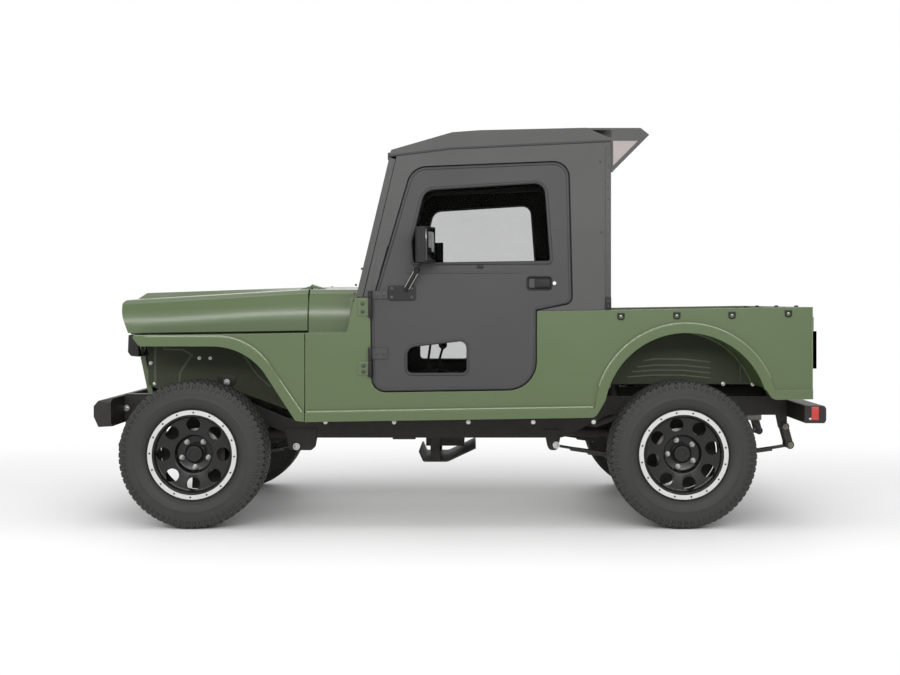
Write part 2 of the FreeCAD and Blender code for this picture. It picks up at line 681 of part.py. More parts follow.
def exhaust():
    y = 262
    path = [
        (station(360), 190, 655), (station(424), 236, 402), (station(480), y, 392),
        (REAR_AXLE_X - 420, y, 392), (REAR_AXLE_X - 220, y, 462), (REAR_AXLE_X + 240, y, 462),
    ]
    pieces = [rod(a, b, 22) for a, b in zip(path, path[1:])]
    pieces += [Part.makeSphere(22, Vector(*p)) for p in path[1:-1]]
    pieces.append(rod((REAR_AXLE_X + 230, y, 462), (REAR_AXLE_X + 500, y, 462), 50))
    pieces.append(rod((REAR_AXLE_X + 490, y, 462), (REAR_AXLE_X + 620, y, 462), 22))
    pieces.append(rod((station(360), 165 + FIT, 655), (station(360), 210, 655), 26))
    for x in (station(1400), REAR_AXLE_X + 300):
        top = RAIL_MID_Z + 40 if x < REAR_AXLE_X - 600 else RAIL_REAR_Z + 30
        base = 400 if x < REAR_AXLE_X - 600 else 480
        pieces.append(box(x - 12, x + 12, y - 8, y + 8, base, top))
        pieces.append(box(x - 12, x + 12, y - 8, RAIL_OUTER - RAIL_WIDTH, top - 12, top))
    bore = [rod(path[-1], (REAR_AXLE_X + 621, y, 462), 19)]
    return join(pieces).cut(bore[0].common(box(REAR_AXLE_X + 560, REAR_AXLE_X + 640, 200, 320, 400, 500)))


def fuel_tank():
    x0, x1 = REAR_AXLE_X + 190, REAR_AXLE_X + 538
    inner = RAIL_OUTER - RAIL_WIDTH
    tank = cross_plate(
        [(-inner, 545), (190, 545, 40), (190, BED_Z - 12, 30), (-290, BED_Z - 12, 30), (-inner, 620)], x0, x1)
    return tank


# Bumpers and lamps
BUMPER_HALF = 638.0
BUMPER_STRAIGHT = 598.0


def front_bumper():
    section = [(-539, 595), (-539, 541), (-515, 488), (-439, 492), (-439, 637), (-515, 622)]
    tip = [(-470, 582), (-470, 552), (-463, 516), (-439, 514), (-439, 620), (-463, 612)]

    def wire(points, y):
        return side_face([(station(a), b, 5) for a, b in points], y).OuterWire

    bar = side_plate([(station(a), b, 5) for a, b in section], -BUMPER_STRAIGHT, BUMPER_STRAIGHT)
    ends = [Part.makeLoft([wire(section, side * BUMPER_STRAIGHT), wire(tip, side * BUMPER_HALF)], True, True)
            for side in (-1, 1)]
    bar = join([bar] + ends)
    brackets = []
    for side in (-1, 1):
        low, high = sorted((side * (RAIL_OUTER + FIT), side * (RAIL_OUTER + 10)))
        arm = side_plate(
            [(station(-439), 508), (station(-439), 628), (station(-250), 632, 12), (station(-250), 560, 30)],
            low, high)
        bolt = tube_y(station(-400), 590, 12, *sorted((side * (RAIL_OUTER + 9), side * (RAIL_OUTER + 18))))
        brackets.append(join([arm, bolt]))
    holes = [
        Part.makeCylinder(14, 200, Vector(station(-478), side * 500, 480)) for side in (-1, 1)
    ]
    return [bar.cut(holes)] + brackets


def rear_bumper():
    pieces = []
    x0, x1 = REAR_AXLE_X + RAIL_TAIL, BUMPER_REAR_X
    for side in (-1, 1):
        low, high = sorted((side * 315, side * (BODY_HALF - 35)))
        pieces.append(side_plate([(x0, 520, 6), (x1 - 8, 520, 10), (x1, 536, 6), (x1, 592, 6), (x1 - 8, 607, 10),
                                  (x0, 607, 6)], low, high))
    plate = box(x0, x0 + 12, -316, 316, 540, 600)
    jaw = [box(x0 + 8, x1 - 10, -45, 45, z, z + 12) for z in (546, 584)]
    hitch = join(pieces + [plate] + jaw)
    return hitch.cut(Part.makeCylinder(13, 100, Vector(x1 - 44, 0, 520)))


def tail_lamps():
    lamps = []
    for side in (-1, 1):
        low, high = sorted((side * (BODY_HALF - 92), side * (BODY_HALF - 8)))
        lamps.append(box(BODY_REAR_X + FIT, BODY_REAR_X + 20, low, high, 794, 980))
        low, high = sorted((side * (BODY_HALF - 200), side * (BODY_HALF - 60)))
        lamps.append(box(BUMPER_REAR_X + FIT, BUMPER_REAR_X + 4, low, high, 532, 595))
    return lamps


LAMP_Y = 508.0
LAMP_Z = 903.0
LAMP_RADIUS = 51.0
LAMP_FACE = -365.0
LAMP_DEPTH = 62.0
GRILLE_HALF = 418.0


def headlamps():
    lamps = []
    for side in (-1, 1):
        x, y = station(LAMP_FACE), side * LAMP_Y
        bowl = rod((x - 6, y, LAMP_Z), (x + LAMP_DEPTH, y, LAMP_Z), LAMP_RADIUS)
        hollow = rod((x - 2, y, LAMP_Z), (x + LAMP_DEPTH - 6, y, LAMP_Z), LAMP_RADIUS - 6)
        lens = rod((x - 2, y, LAMP_Z), (x + 2, y, LAMP_Z), LAMP_RADIUS - 5)
        lamps.append(join([bowl.cut(hollow), lens]))
    return lamps


# Load body and floors
SILL = raked(SILL_Z, SEAM_X)


def door_lower(grow=0.0):
    """Door outline, from its front top corner down and round to the cab's rear quarter and the roof."""
    s = station
    return [
        (s(888), 1140), (s(894), 681, 66), (s(1705), 693, 140), (s(1705), 1086, 3), (s(1883), 1122, 36),
        (s(1866), 1822, 76), (s(1092), 1791, 96), (s(910), 1170),
    ]


def body_outline():
    s = station
    return [
        (SEAM_X, SILL), (s(2000), raked(SILL_Z, s(2000)), 40), (s(2052), 643), (s(2400), 700), (s(2845), 690),
        (s(2880), raked(REAR_SKIRT_Z, s(2880)), 40), (BODY_REAR_X, raked(REAR_SKIRT_Z, BODY_REAR_X)),
        (BODY_REAR_X, raked(RAIL_Z, BODY_REAR_X)), (s(1860), raked(RAIL_Z, s(1860))),
        (s(1690), raked(RAIL_Z, s(1690))), (s(1690), 1000), (s(900), 1000),
        (s(900), raked(PILLAR_TOP_Z, s(900))), (s(806), raked(PILLAR_TOP_Z, s(806)), 10),
        (PILLAR_X - 6, raked(SHOULDER_Z, PILLAR_X), 20), (SEAM_X, raked(SHOULDER_Z, SEAM_X)),
    ]


def hinge_parts(z0, z1, split, leaf_body, leaf_door):
    """Body half and door half of one external hinge on the right-hand side."""
    barrel_body = Part.makeCylinder(HINGE_RADIUS, split - z0 - 0.5, Vector(HINGE_X, HINGE_Y, z0))
    barrel_door = Part.makeCylinder(HINGE_RADIUS, z1 - split - 0.5, Vector(HINGE_X, HINGE_Y, split + 0.5))
    pin = Part.makeCylinder(HINGE_PIN, z1 - z0, Vector(HINGE_X, HINGE_Y, z0))
    hole = Part.makeCylinder(HINGE_PIN + PIN_CLEARANCE, z1 - z0 + 20, Vector(HINGE_X, HINGE_Y, z0 - 10))
    body = join([
        barrel_body, pin,
        box(HINGE_X - 62, HINGE_X, BODY_HALF - 1, BODY_HALF + 8, leaf_body[0], leaf_body[1]),
        box(HINGE_X - 9, HINGE_X, BODY_HALF - 1, HINGE_Y, max(z0, leaf_body[0]), min(split - 0.5, leaf_body[1])),
    ])
    door = join([
        barrel_door,
        box(HINGE_X + 5, HINGE_X + 86, BODY_HALF - 1, BODY_HALF + 8, max(split + 0.5, leaf_door[0]), leaf_door[1]),
        box(HINGE_X, HINGE_X + 12, BODY_HALF + 1, HINGE_Y, max(split + 0.5, leaf_door[0]), min(z1, leaf_door[1])),
    ]).cut(hole)
    return body, door


HINGES = [
    hinge_parts(1047, 1180, 1139, (1057, 1137), (1141, 1180)),
    hinge_parts(753, 903, 828, (762, 826), (843, 896)),
]


def arch_circle(radius, y0, y1):
    return tube_y(ARCH_X, ARCH_Z, radius, y0, y1)


def body_side():
    """Right-hand side of the load body, from the seam behind the wing to the tail."""
    outline_points = body_outline()
    opening = grown_plate(door_lower(), PANEL_GAP, INNER - 60, BODY_HALF + 40)
    arch = arch_circle(ARCH_RADIUS, INNER - 60, BODY_HALF + 40)
    skin = upright_rounded(side_plate(outline_points, INNER, BODY_HALF), BODY_REAR_X, BODY_HALF, CORNER_ROUND)
    s = station
    above = side_plate(
        [(SEAM_X - 20, SILL + LIP_WIDTH), (s(2200), raked(SILL_Z, s(2200)) + LIP_WIDTH),
         (s(2500), raked(REAR_SKIRT_Z, s(2500)) + LIP_WIDTH),
         (BODY_REAR_X + 20, raked(REAR_SKIRT_Z, BODY_REAR_X) + LIP_WIDTH), (BODY_REAR_X + 20, 1300),
         (SEAM_X - 20, 1300)], BODY_HALF - 1, BODY_HALF + 40)
    above = above.cut(arch_circle(ARCH_RADIUS + LIP_WIDTH, BODY_HALF - 2, BODY_HALF + 41))
    lip = side_plate(outline_points, BODY_HALF - 2, BODY_HALF + LIP_PROUD).cut(above)
    lip = upright_rounded(lip, BODY_REAR_X, BODY_HALF + LIP_PROUD, LIP_PROUD - 2)
    rail = side_plate(
        [(CAB_REAR_X, raked(RAIL_Z, CAB_REAR_X) - 30), (BODY_REAR_X - 70, raked(RAIL_Z, BODY_REAR_X - 70) - 30),
         (BODY_REAR_X - 70, raked(RAIL_Z, BODY_REAR_X - 70)), (CAB_REAR_X, raked(RAIL_Z, CAB_REAR_X))],
        INNER - 34, INNER + 1)
    post = side_plate(
        [(BODY_REAR_X - 70, BED_Z + SHEET), (BODY_REAR_X, BED_Z + SHEET),
         (BODY_REAR_X, raked(RAIL_Z, BODY_REAR_X)), (BODY_REAR_X - 70, raked(RAIL_Z, BODY_REAR_X - 70))],
        TAILGATE_HALF + PANEL_GAP, INNER + 1)
    jamb = side_plate(
        [(s(806), 700), (DOOR_X - PANEL_GAP, 700), (DOOR_X - PANEL_GAP, raked(PILLAR_TOP_Z, s(860)) - 2),
         (s(806), raked(PILLAR_TOP_Z, s(806)) - 2)], INNER - 30, INNER + 1)
    catch = side_plate(
        [(s(1717), 820), (s(1760), 820), (s(1760), 1078), (s(1717), 1076)], INNER - 30, INNER + 1)
    shell = join([skin, lip]).cut([opening, arch])
    shell = join([shell, rail, post, jamb, catch] + [pair[0] for pair in HINGES])
    return shell


def cab_floor():
    """Footwell floor with its gearbox tunnel, and the heel board behind the seats."""
    x_front, riser = station(586), station(RISER_STATION)
    tunnel_end = station(1300)
    pieces = [
        box(x_front, riser, -INNER, INNER, FLOOR_Z, FLOOR_Z + SHEET),
        box(riser - SHEET, riser, -INNER, INNER, FLOOR_Z, BED_Z + SHEET),
        box(x_front, tunnel_end, -TUNNEL_HALF, TUNNEL_HALF, FLOOR_Z, TUNNEL_TOP_Z),
    ]
    hollow = box(x_front - 1, tunnel_end - SHEET, -TUNNEL_HALF + SHEET, TUNNEL_HALF - SHEET,
                 FLOOR_Z - 1, TUNNEL_TOP_Z - SHEET)
    jambs = both_sides(box(station(1710), station(1768), INNER - 31, INNER + 1, 800, 1100))
    return join(pieces).cut([hollow] + jambs)


BULKHEAD = 28.0


def load_floor():
    """Flat floor between the wheel boxes, with the bulkhead under the cab's back wall and the tail sill."""
    riser = station(RISER_STATION)
    half = WHEEL_BOX_INNER
    top = raked(RAIL_Z, CAB_REAR_X)
    pieces = [
        box(riser, BODY_REAR_X, -half, half, BED_Z, BED_Z + SHEET),
        box(riser, CAB_REAR_X, -INNER, INNER, BED_Z, BED_Z + SHEET),
        box(CAB_REAR_X - BULKHEAD, CAB_REAR_X, -INNER, INNER, BED_Z + 10, top - 36),
        box(CAB_REAR_X - BULKHEAD, CAB_REAR_X, -INNER + 36, INNER - 36, top - 37, top),
        box(BODY_REAR_X - 26, BODY_REAR_X, -INNER, INNER, raked(REAR_SKIRT_Z, BODY_REAR_X), BED_Z),
        box(BODY_REAR_X - 26, BODY_REAR_X, -half, half, BED_Z - 1, BED_Z + 1),
    ]
    hinge_x, hinge_z = TAILGATE_AXIS
    for side in (-1, 1):
        for y in (side * 430 - 48, side * 430 + 17):
            pieces.append(tube_y(hinge_x, hinge_z, HINGE_RADIUS, y, y + 31))
            pieces.append(box(BODY_REAR_X - 2, hinge_x, y, y + 31, hinge_z - HINGE_RADIUS, hinge_z))
        pieces.append(tube_y(hinge_x, hinge_z, HINGE_PIN, side * 430 - 48, side * 430 + 48))
    return join(pieces)


def wheel_box(side):
    """Round-topped housing over one rear wheel, with the strips of floor before and behind it."""
    low, high = ARCH_RADIUS, ARCH_RADIUS + SHEET
    inner, wall = side * WHEEL_BOX_INNER, side * (WHEEL_BOX_INNER + SHEET)
    y0, y1 = sorted((inner, side * INNER))
    y2, y3 = sorted((inner, wall))
    over = (CAB_REAR_X, BODY_REAR_X)
    ring = arch_circle(high, y0, y1).cut(arch_circle(low, y0 - 1, y1 + 1))
    pieces = [
        ring.common(box(*over, y0, y1, BED_Z, ARCH_Z + high)),
        arch_circle(high, y2, y3).common(box(*over, y2, y3, BED_Z, ARCH_Z + high)),
        box(*over, y0, y1, BED_Z, BED_Z + SHEET),
    ]
    well = arch_circle(low, *sorted((wall, side * (INNER + 1))))
    return join(pieces).cut(well)


TAILGATE_AXIS = (BODY_REAR_X + 20, BED_Z - 4)
TAILGATE_LOW = BED_Z + SHEET + 6
TAILGATE_HALF = INNER - 98.0


def tailgate():
    high = raked(RAIL_Z, BODY_REAR_X)
    half = TAILGATE_HALF
    x0, x1 = BODY_REAR_X - 30, BODY_REAR_X
    sheet = box(x0, x1, -half, half, TAILGATE_LOW, high)
    hollow = box(x0 - 1, x1 - 8, -half + 40, half - 40, TAILGATE_LOW + 40, high - 40)
    ribs = [box(x0 + 4, x1 - 6, y - 20, y + 20, TAILGATE_LOW + 30, high - 30) for y in (-300, 0, 300)]
    whole = join([sheet.cut(hollow)] + ribs)
    hinge_x, hinge_z = TAILGATE_AXIS
    for side in (-1, 1):
        y = side * 430
        barrel = tube_y(hinge_x, hinge_z, HINGE_RADIUS, y - 16, y + 16)
        strap = box(x1 - 1, x1 + 12, y - 16, y + 16, TAILGATE_LOW + 2, TAILGATE_LOW + 60)
        web = box(x1 + 5, x1 + 12, y - 16, y + 16, hinge_z, TAILGATE_LOW + 60)
        link = box(x1 + 5, hinge_x, y - 16, y + 16, hinge_z, hinge_z + 9)
        hole = tube_y(hinge_x, hinge_z, HINGE_PIN + PIN_CLEARANCE, y - 30, y + 30)
        whole = join([whole, barrel, strap, web, link]).cut(hole)
    return whole


# Wings, bonnet, cowl and grille
COWL_HALF = HOOD_HALF - 4.0


def wing_outline():
    s = station
    return [
        (s(-300), raked(SHOULDER_Z, s(-300)), 8), (s(-262), WING_ARCH_Z, 30),
        (s(WING_ARCH_STATION), WING_ARCH_Z, WING_ARCH_RADIUS), (s(513), 536, 12), (SEAM_X - SEAM_GAP, 532),
        (SEAM_X - SEAM_GAP, raked(SHOULDER_Z, SEAM_X)),
    ]


def front_wing():
    """Right-hand wing with its flat top, turned lip and inner panel."""
    s = station
    edge = SEAM_X - SEAM_GAP
    skin = side_plate(wing_outline(), INNER, BODY_HALF)
    grown = [
        (s(-420), 1300), (s(-262), WING_ARCH_Z, 30), (s(WING_ARCH_STATION), WING_ARCH_Z, WING_ARCH_RADIUS),
        (s(513), 536, 12), (s(900), 532), (s(900), 1300),
    ]
    crease = grown_plate(grown, -LIP_WIDTH, BODY_HALF - 1, BODY_HALF + 40)
    lip = side_plate(wing_outline(), BODY_HALF - 2, BODY_HALF + LIP_PROUD).cut(crease)
    inner_y = APRON_Y
    top = side_plate(
        [(s(-300), raked(SHOULDER_Z, s(-300)) - SHEET), (edge, raked(SHOULDER_Z, SEAM_X) - SHEET),
         (edge, raked(SHOULDER_Z, SEAM_X)), (s(-300), raked(SHOULDER_Z, s(-300)))], inner_y, INNER + 1)
    apron = side_plate(
        [(s(-300), raked(SHOULDER_Z, s(-300)) - 2), (s(-300), 690, 20), (s(-180), 652, 20), (s(180), 652, 40),
         (s(330), 600, 40), (s(440), APRON_LOW_Z, 40), (edge, APRON_LOW_Z), (edge, raked(SHOULDER_Z, SEAM_X) - 2)],
        inner_y, inner_y + SHEET)
    feet = [box(s(d), s(d + 50), 340, inner_y + SHEET, RAIL_FRONT_Z + RAIL_DEPTH, RAIL_FRONT_Z + RAIL_DEPTH + 14)
            for d in (-170, -60)]
    x, top_z = FRONT_DAMPER_X, DAMPER_TOP_Z + 44
    apron = apron.cut(side_plate([(x - 58, 600), (x + 58, 600), (x + 58, top_z, 34), (x - 58, top_z, 34)],
                                 inner_y - 1, inner_y + SHEET + 1))
    tail = box(edge - SHEET, edge, inner_y, INNER + 1, APRON_LOW_Z, raked(SHOULDER_Z, SEAM_X) - 2)
    return join([skin, lip, top, apron, tail] + feet)


def hood_edge_z(x):
    return HOOD_CREASE_Z + HOOD_SLOPE * (x - FRONT_AXLE_X)


def hood_section(x, inset, lift=HOOD_LIFT):
    """Closed cross outline of the bonnet at x, moved inwards by inset; behind the bonnet its top runs level."""
    half = HOOD_HALF - HOOD_TAPER * (HOOD_X1 - x) - inset
    low = raked(SHOULDER_Z, x) + lift
    edge = hood_edge_z(min(x, HOOD_X1)) - inset
    share = min(1.0, (x - HOOD_X0) / (HOOD_X1 - HOOD_X0))
    bulge = BULGE_FRONT + (BULGE_REAR - BULGE_FRONT) * share
    top_half = half - HOOD_FLARE
    roll_z = edge - HOOD_ROLL_SHARE * (edge - raked(SHOULDER_Z, x) - HOOD_LIFT)
    points = [
        (-half, low), (-half, roll_z, HOOD_ROLL), (-top_half, edge - 18, 24), (-top_half + 34, edge + 2, 40),
        (-BULGE_HALF - BULGE_RAMP, edge + 8, 12), (-BULGE_HALF, edge + bulge - 4, 12),
        (0, edge + bulge, 700),
    ]
    right = [(-p[0], p[1]) + tuple(p[2:]) for p in reversed(points[:-1])]
    return outline(points + right, lambda a, b: Vector(x, a, b)).OuterWire


HOOD_X0 = station(-HOOD_FRONT)
HOOD_X1 = SEAM_X - PANEL_GAP - 2


def hood():
    inset = 16
    outer = Part.makeLoft([hood_section(x, 0) for x in (HOOD_X0, HOOD_X1)], True, True)
    low = raked(SHOULDER_Z, HOOD_X0)
    inner = Part.makeLoft([hood_section(x, inset) for x in (HOOD_X0, HOOD_X1)], True, True)
    drop = inner.copy()
    drop.translate(Vector(0, 0, -60))
    s = station
    nose = side_plate(
        [(s(-500), low - 80), (s(-362), low - 80), (s(-362), low + HOOD_LIFT), (s(-397), 1058, 200),
         (s(-402), 1120, 14), (s(-382), 1142), (s(-334), 1180), (s(-300), 1290), (s(-500), 1290)], -800, 800)
    face = side_plate(
        [(s(-346), low - 100), (s(-346), low + HOOD_LIFT), (s(-381), 1058, 180), (s(-385), 1106, 12),
         (s(-340), 1140, 20), (s(-250), 1160), (s(700), 1260), (s(700), low - 100)], -800, 800)
    cavity = join([inner, drop]).common(face)
    shell = outer.cut(nose).cut(cavity)
    mouth = box(s(-420), s(-300), -470, 470, low - 20, NOSE_Z)
    shell = shell.cut(mouth)
    hinge_x, hinge_z = HOOD_AXIS
    for side in (-1, 1):
        y = side * 440
        barrel = tube_y(hinge_x, hinge_z, HINGE_RADIUS, y - 20, y + 20)
        strap = side_plate(
            [(hinge_x, hinge_z + 5), (HOOD_X1 - 60, hood_edge_z(HOOD_X1 - 60) + 7),
             (HOOD_X1 - 60, hood_edge_z(HOOD_X1 - 60) - 4), (HOOD_X1 - 4, hood_edge_z(HOOD_X1) - 4),
             (hinge_x, hinge_z - 5)], y - 20, y + 20)
        hole = tube_y(hinge_x, hinge_z, HINGE_PIN + PIN_CLEARANCE, y - 40, y + 40)
        shell = join([shell, barrel, strap]).cut(hole)
    return shell


HOOD_AXIS = (station(562), hood_edge_z(station(562)) + 19)


def cowl():
    s = station
    x0, x1 = SEAM_X, SCREEN_X - 6
    top = hood_edge_z(HOOD_X1)
    shoulder = raked(SHOULDER_Z, SEAM_X)
    outer = Part.makeLoft([hood_section(x, 0, -12) for x in (x0, x1)], True, True)
    inner = Part.makeLoft([hood_section(x, SHEET, -40) for x in (x0 + SHEET, x1 + 1)], True, True)
    pieces = [box(x0, x0 + SHEET, -INNER, INNER, FLOOR_Z, shoulder), outer.cut(inner)]
    for side in (-1, 1):
        low, high = sorted((side * (COWL_HALF - SHEET), side * INNER))
        pieces.append(box(x0, PILLAR_X + SHEET, low, high, shoulder - 20, shoulder))
        pieces.append(box(PILLAR_X + 6, PILLAR_X + 6 + SHEET, low, high, shoulder - 5, SCREEN_LOW_Z - 10))
    hinge_x, hinge_z = HOOD_AXIS
    for side in (-1, 1):
        for y in (side * 440 - 48, side * 440 + 21):
            pieces.append(tube_y(hinge_x, hinge_z, HINGE_RADIUS, y, y + 27))
            pieces.append(side_plate(
                [(hinge_x, hinge_z - 8), (hinge_x + 70, top - 4), (hinge_x + 70, top + 6), (hinge_x, hinge_z + 6)],
                y, y + 27))
        pieces.append(tube_y(hinge_x, hinge_z, HINGE_PIN, side * 440 - 48, side * 440 + 48))
    ledge_edge = INNER - 30 - FIT
    pieces.append(box(PILLAR_X + 6, s(862), -ledge_edge, ledge_edge, SCREEN_LOW_Z - SHEET, SCREEN_LOW_Z))
    tunnel = box(x0 - 1, x0 + SHEET + 1, -TUNNEL_HALF + SHEET, TUNNEL_HALF - SHEET, FLOOR_Z - 1,
                 TUNNEL_TOP_Z - SHEET)
    return join(pieces).cut(tunnel)


def grille_panel():
    s = station
    low = RAIL_FRONT_Z + RAIL_DEPTH
    face = [(s(-307), low), (s(-347), 829), (s(-360), 1030), (s(-334), 1030), (s(-321), 829), (s(-281), low)]
    panel = side_plate(face, -GRILLE_HALF, GRILLE_HALF)
    slots = [box(s(-420), s(-200), y0, y1, z, z + 34)
             for z in (722, 786, 850, 914, 978) for y0, y1 in ((-360, -12), (12, 360))]
    return panel.cut(slots)


def lamp_shroud():
    """Right-hand moulded housing beside the grille, with the bore that its headlamp sits in."""
    s = station
    housing = side_plate(
        [(s(-309), 846), (s(-350), 850, 10), (s(-365), 870, 10), (s(-362), 958, 8), (s(-314), 958)],
        GRILLE_HALF, BODY_HALF - 162)
    recess = rod((s(-420), LAMP_Y, LAMP_Z), (s(LAMP_FACE) + LAMP_DEPTH, LAMP_Y, LAMP_Z), LAMP_RADIUS + FIT)
    return housing.cut(recess)


def radiator():
    rail_top = RAIL_FRONT_Z + RAIL_DEPTH
    low = rail_top + 50
    core = box(station(-255), station(-190), -300, 300, low, low + 300)
    legs = [box(station(-250), station(-200), *sorted((side * 300, side * 380)), rail_top, low + 10)
            for side in (-1, 1)]
    bars = [box(station(-250), station(-200), *sorted((side * 290, side * 380)), low, low + 30)
            for side in (-1, 1)]
    return join([core] + legs + bars)


# Half cab
LEAN = math.atan(SCREEN_SLOPE)
SCREEN_X = station(SCREEN_STATION)
SCREEN_LOW_Z = 1150.0
CAB_FACE = BODY_HALF - 2.0


def screen_x(z, behind=0.0):
    return SCREEN_X + (z - SCREEN_LOW_Z) * SCREEN_SLOPE + behind


def leaned(shape):
    shape = shape.copy()
    shape.rotate(Vector(SCREEN_X, 0, SCREEN_LOW_Z), Vector(0, 1, 0), math.degrees(LEAN))
    return shape


SCREEN_HEIGHT = (SCREEN_TOP_Z - SCREEN_LOW_Z) / math.cos(LEAN)


def screen_window(grow):
    low, high = SCREEN_LOW_Z + 170 - grow, SCREEN_LOW_Z + SCREEN_HEIGHT - 70 + grow
    half, radius = CAB_FACE - SCREEN_POST + grow, 50 + grow
    return [(-half, low, radius), (half, low, radius), (half, high, radius), (-half, high, radius)]


def windshield_frame():
    z0, z1 = SCREEN_LOW_Z, SCREEN_LOW_Z + SCREEN_HEIGHT
    frame_plate = cross_plate(
        [(-CAB_FACE, z0 - 20), (CAB_FACE, z0 - 20), (CAB_FACE, z1), (-CAB_FACE, z1)],
        SCREEN_X, SCREEN_X + SCREEN_THICKNESS)
    window = cross_plate(screen_window(0), SCREEN_X - 5, SCREEN_X + SCREEN_THICKNESS + 5)
    rebate = cross_plate(screen_window(10), SCREEN_X + 12, SCREEN_X + 12 + GLASS + 1)
    below = box(SCREEN_X - 100, SCREEN_X + 100, -CAB_FACE - 1, CAB_FACE + 1, SCREEN_LOW_Z - 100, SCREEN_LOW_Z)
    return leaned(frame_plate.cut([window, rebate])).cut(below)


def windshield_glass():
    pane = cross_plate(screen_window(8), SCREEN_X + 12 + FIT, SCREEN_X + 12 + GLASS)
    return leaned(pane)


def cab_top_z(x):
    """Height of the line where the cab side meets the roof."""
    first = station(985)
    middle = station(ROOF_BREAK_STATION)
    if x < middle:
        return ROOF_FRONT_Z + (ROOF_BREAK_Z - ROOF_FRONT_Z) * (x - first) / (middle - first)
    return ROOF_BREAK_Z + (ROOF_REAR_Z - ROOF_BREAK_Z) * (x - middle) / (CAB_REAR_X - middle)


def cab_side():
    s = station
    z0 = raked(PILLAR_TOP_Z, s(860)) + SEAM_GAP
    behind = SCREEN_THICKNESS / math.cos(LEAN) + SEAM_GAP
    top_x = screen_x(SCREEN_TOP_Z + SEAM_GAP, behind)
    base = raked(RAIL_Z, s(1700))
    points = [
        (screen_x(z0, behind), z0), (s(930), z0), (s(930), 1400), (s(1700), 1400), (s(1700), base + 1),
        (CAB_REAR_X, raked(RAIL_Z, CAB_REAR_X) + 1), (CAB_REAR_X, cab_top_z(CAB_REAR_X)),
        (s(ROOF_BREAK_STATION), ROOF_BREAK_Z), (top_x, cab_top_z(top_x)),
    ]
    panel = side_plate(points, CAB_FACE - CAB_WALL, CAB_FACE)
    opening = grown_plate(door_lower(), PANEL_GAP, CAB_FACE - 90, CAB_FACE + 40)
    flange = box(CAB_REAR_X - CAB_BACK - 46, CAB_REAR_X - CAB_BACK - 2, CAB_FACE - 2 * CAB_WALL,
                 CAB_FACE - CAB_WALL + 1, 1140, ROOF_REAR_Z - 42)
    return join([panel.cut(opening), flange])


def back_window(grow):
    return [(-430 - grow, 1330 - grow, 60), (430 + grow, 1330 - grow, 60), (430 + grow, 1700 + grow, 60),
            (-430 - grow, 1700 + grow, 60)]


def cab_back():
    x0, x1 = CAB_REAR_X - CAB_BACK, CAB_REAR_X
    inner = CAB_FACE - CAB_WALL - FIT
    z0 = raked(RAIL_Z, CAB_REAR_X) + 1
    panel = cross_plate([(-inner, z0), (inner, z0), (inner, ROOF_REAR_Z + 2), (-inner, ROOF_REAR_Z + 2)], x0, x1)
    window = cross_plate(back_window(0), x0 - 1, x1 + 1)
    rebate = cross_plate(back_window(10), x0 + 10, x0 + 16)
    return panel.cut([window, rebate])


def cab_roof():
    """Roof shell with its stepped front, lip and the rear visor on two triangular frames."""
    s = station
    front = screen_x(SCREEN_TOP_Z + 10)
    crown = ROOF_REAR_Z + ROOF_CROWN
    break_x = s(ROOF_BREAK_STATION)
    lower = [(front, ROOF_FRONT_Z + SEAM_GAP), (break_x, ROOF_BREAK_Z + SEAM_GAP),
             (CAB_REAR_X + 6, ROOF_REAR_Z + SEAM_GAP)]
    upper = [(CAB_REAR_X + 6, crown - 54, 6), (CAB_REAR_X - 84, crown - 16, 30), (CAB_REAR_X - 121, crown, 30),
             (break_x + 140, crown - 12, 200), (break_x + 2, crown - 22, 100), (front + 6, ROOF_FRONT_Z + 30, 10)]
    half = CAB_FACE + 2
    outer = side_plate(lower + upper, -half, half)
    below = ROOF_FRONT_Z - 150
    inner_lower = [(front + 36, below), (front + 36, ROOF_FRONT_Z + 16), (break_x + 12, crown - 22 - ROOF_WALL, 60),
                   (CAB_REAR_X - 148, crown - ROOF_WALL, 40), (CAB_REAR_X - CAB_BACK - 2, ROOF_REAR_Z - 2),
                   (CAB_REAR_X - CAB_BACK - 2, below)]
    hollow = side_plate(inner_lower, -half + ROOF_RAIL, half - ROOF_RAIL)
    shell = outer.cut(hollow)
    tip_x, tip_z = CAB_REAR_X + VISOR_REACH, crown - 35
    visor_top = side_plate(
        [(CAB_REAR_X - 128, crown - 1), (tip_x - 53, crown - 1, 20), (tip_x - 10, tip_z), (tip_x - 16, tip_z - 6),
         (tip_x - 56, crown - 11, 14), (CAB_REAR_X - 128, crown - 11)], -half, half)
    foot_z = crown - VISOR_DROP
    strips = []
    for side in (-1, 1):
        low, high = sorted((side * (half - 10), side * half))
        strips.append(side_plate(
            [(tip_x - 10, tip_z), (CAB_REAR_X + 8, foot_z + 2), (CAB_REAR_X + 6, foot_z + VISOR_EDGE),
             (tip_x - 34, tip_z + 1)], low, high))
        strips.append(side_plate(
            [(CAB_REAR_X + 1, crown - VISOR_BAND), (tip_x - 50, crown - VISOR_BAND), (tip_x - 14, tip_z - 4),
             (tip_x - 10, tip_z), (tip_x - 53, crown - 1), (CAB_REAR_X + 1, crown - 1)], low, high))
        strips.append(side_plate(
            [(CAB_REAR_X + 1, foot_z), (CAB_REAR_X + 9, foot_z), (CAB_REAR_X + 9, crown - 5),
             (CAB_REAR_X + 1, crown - 5)], low, high))
    return join([shell, visor_top] + strips)


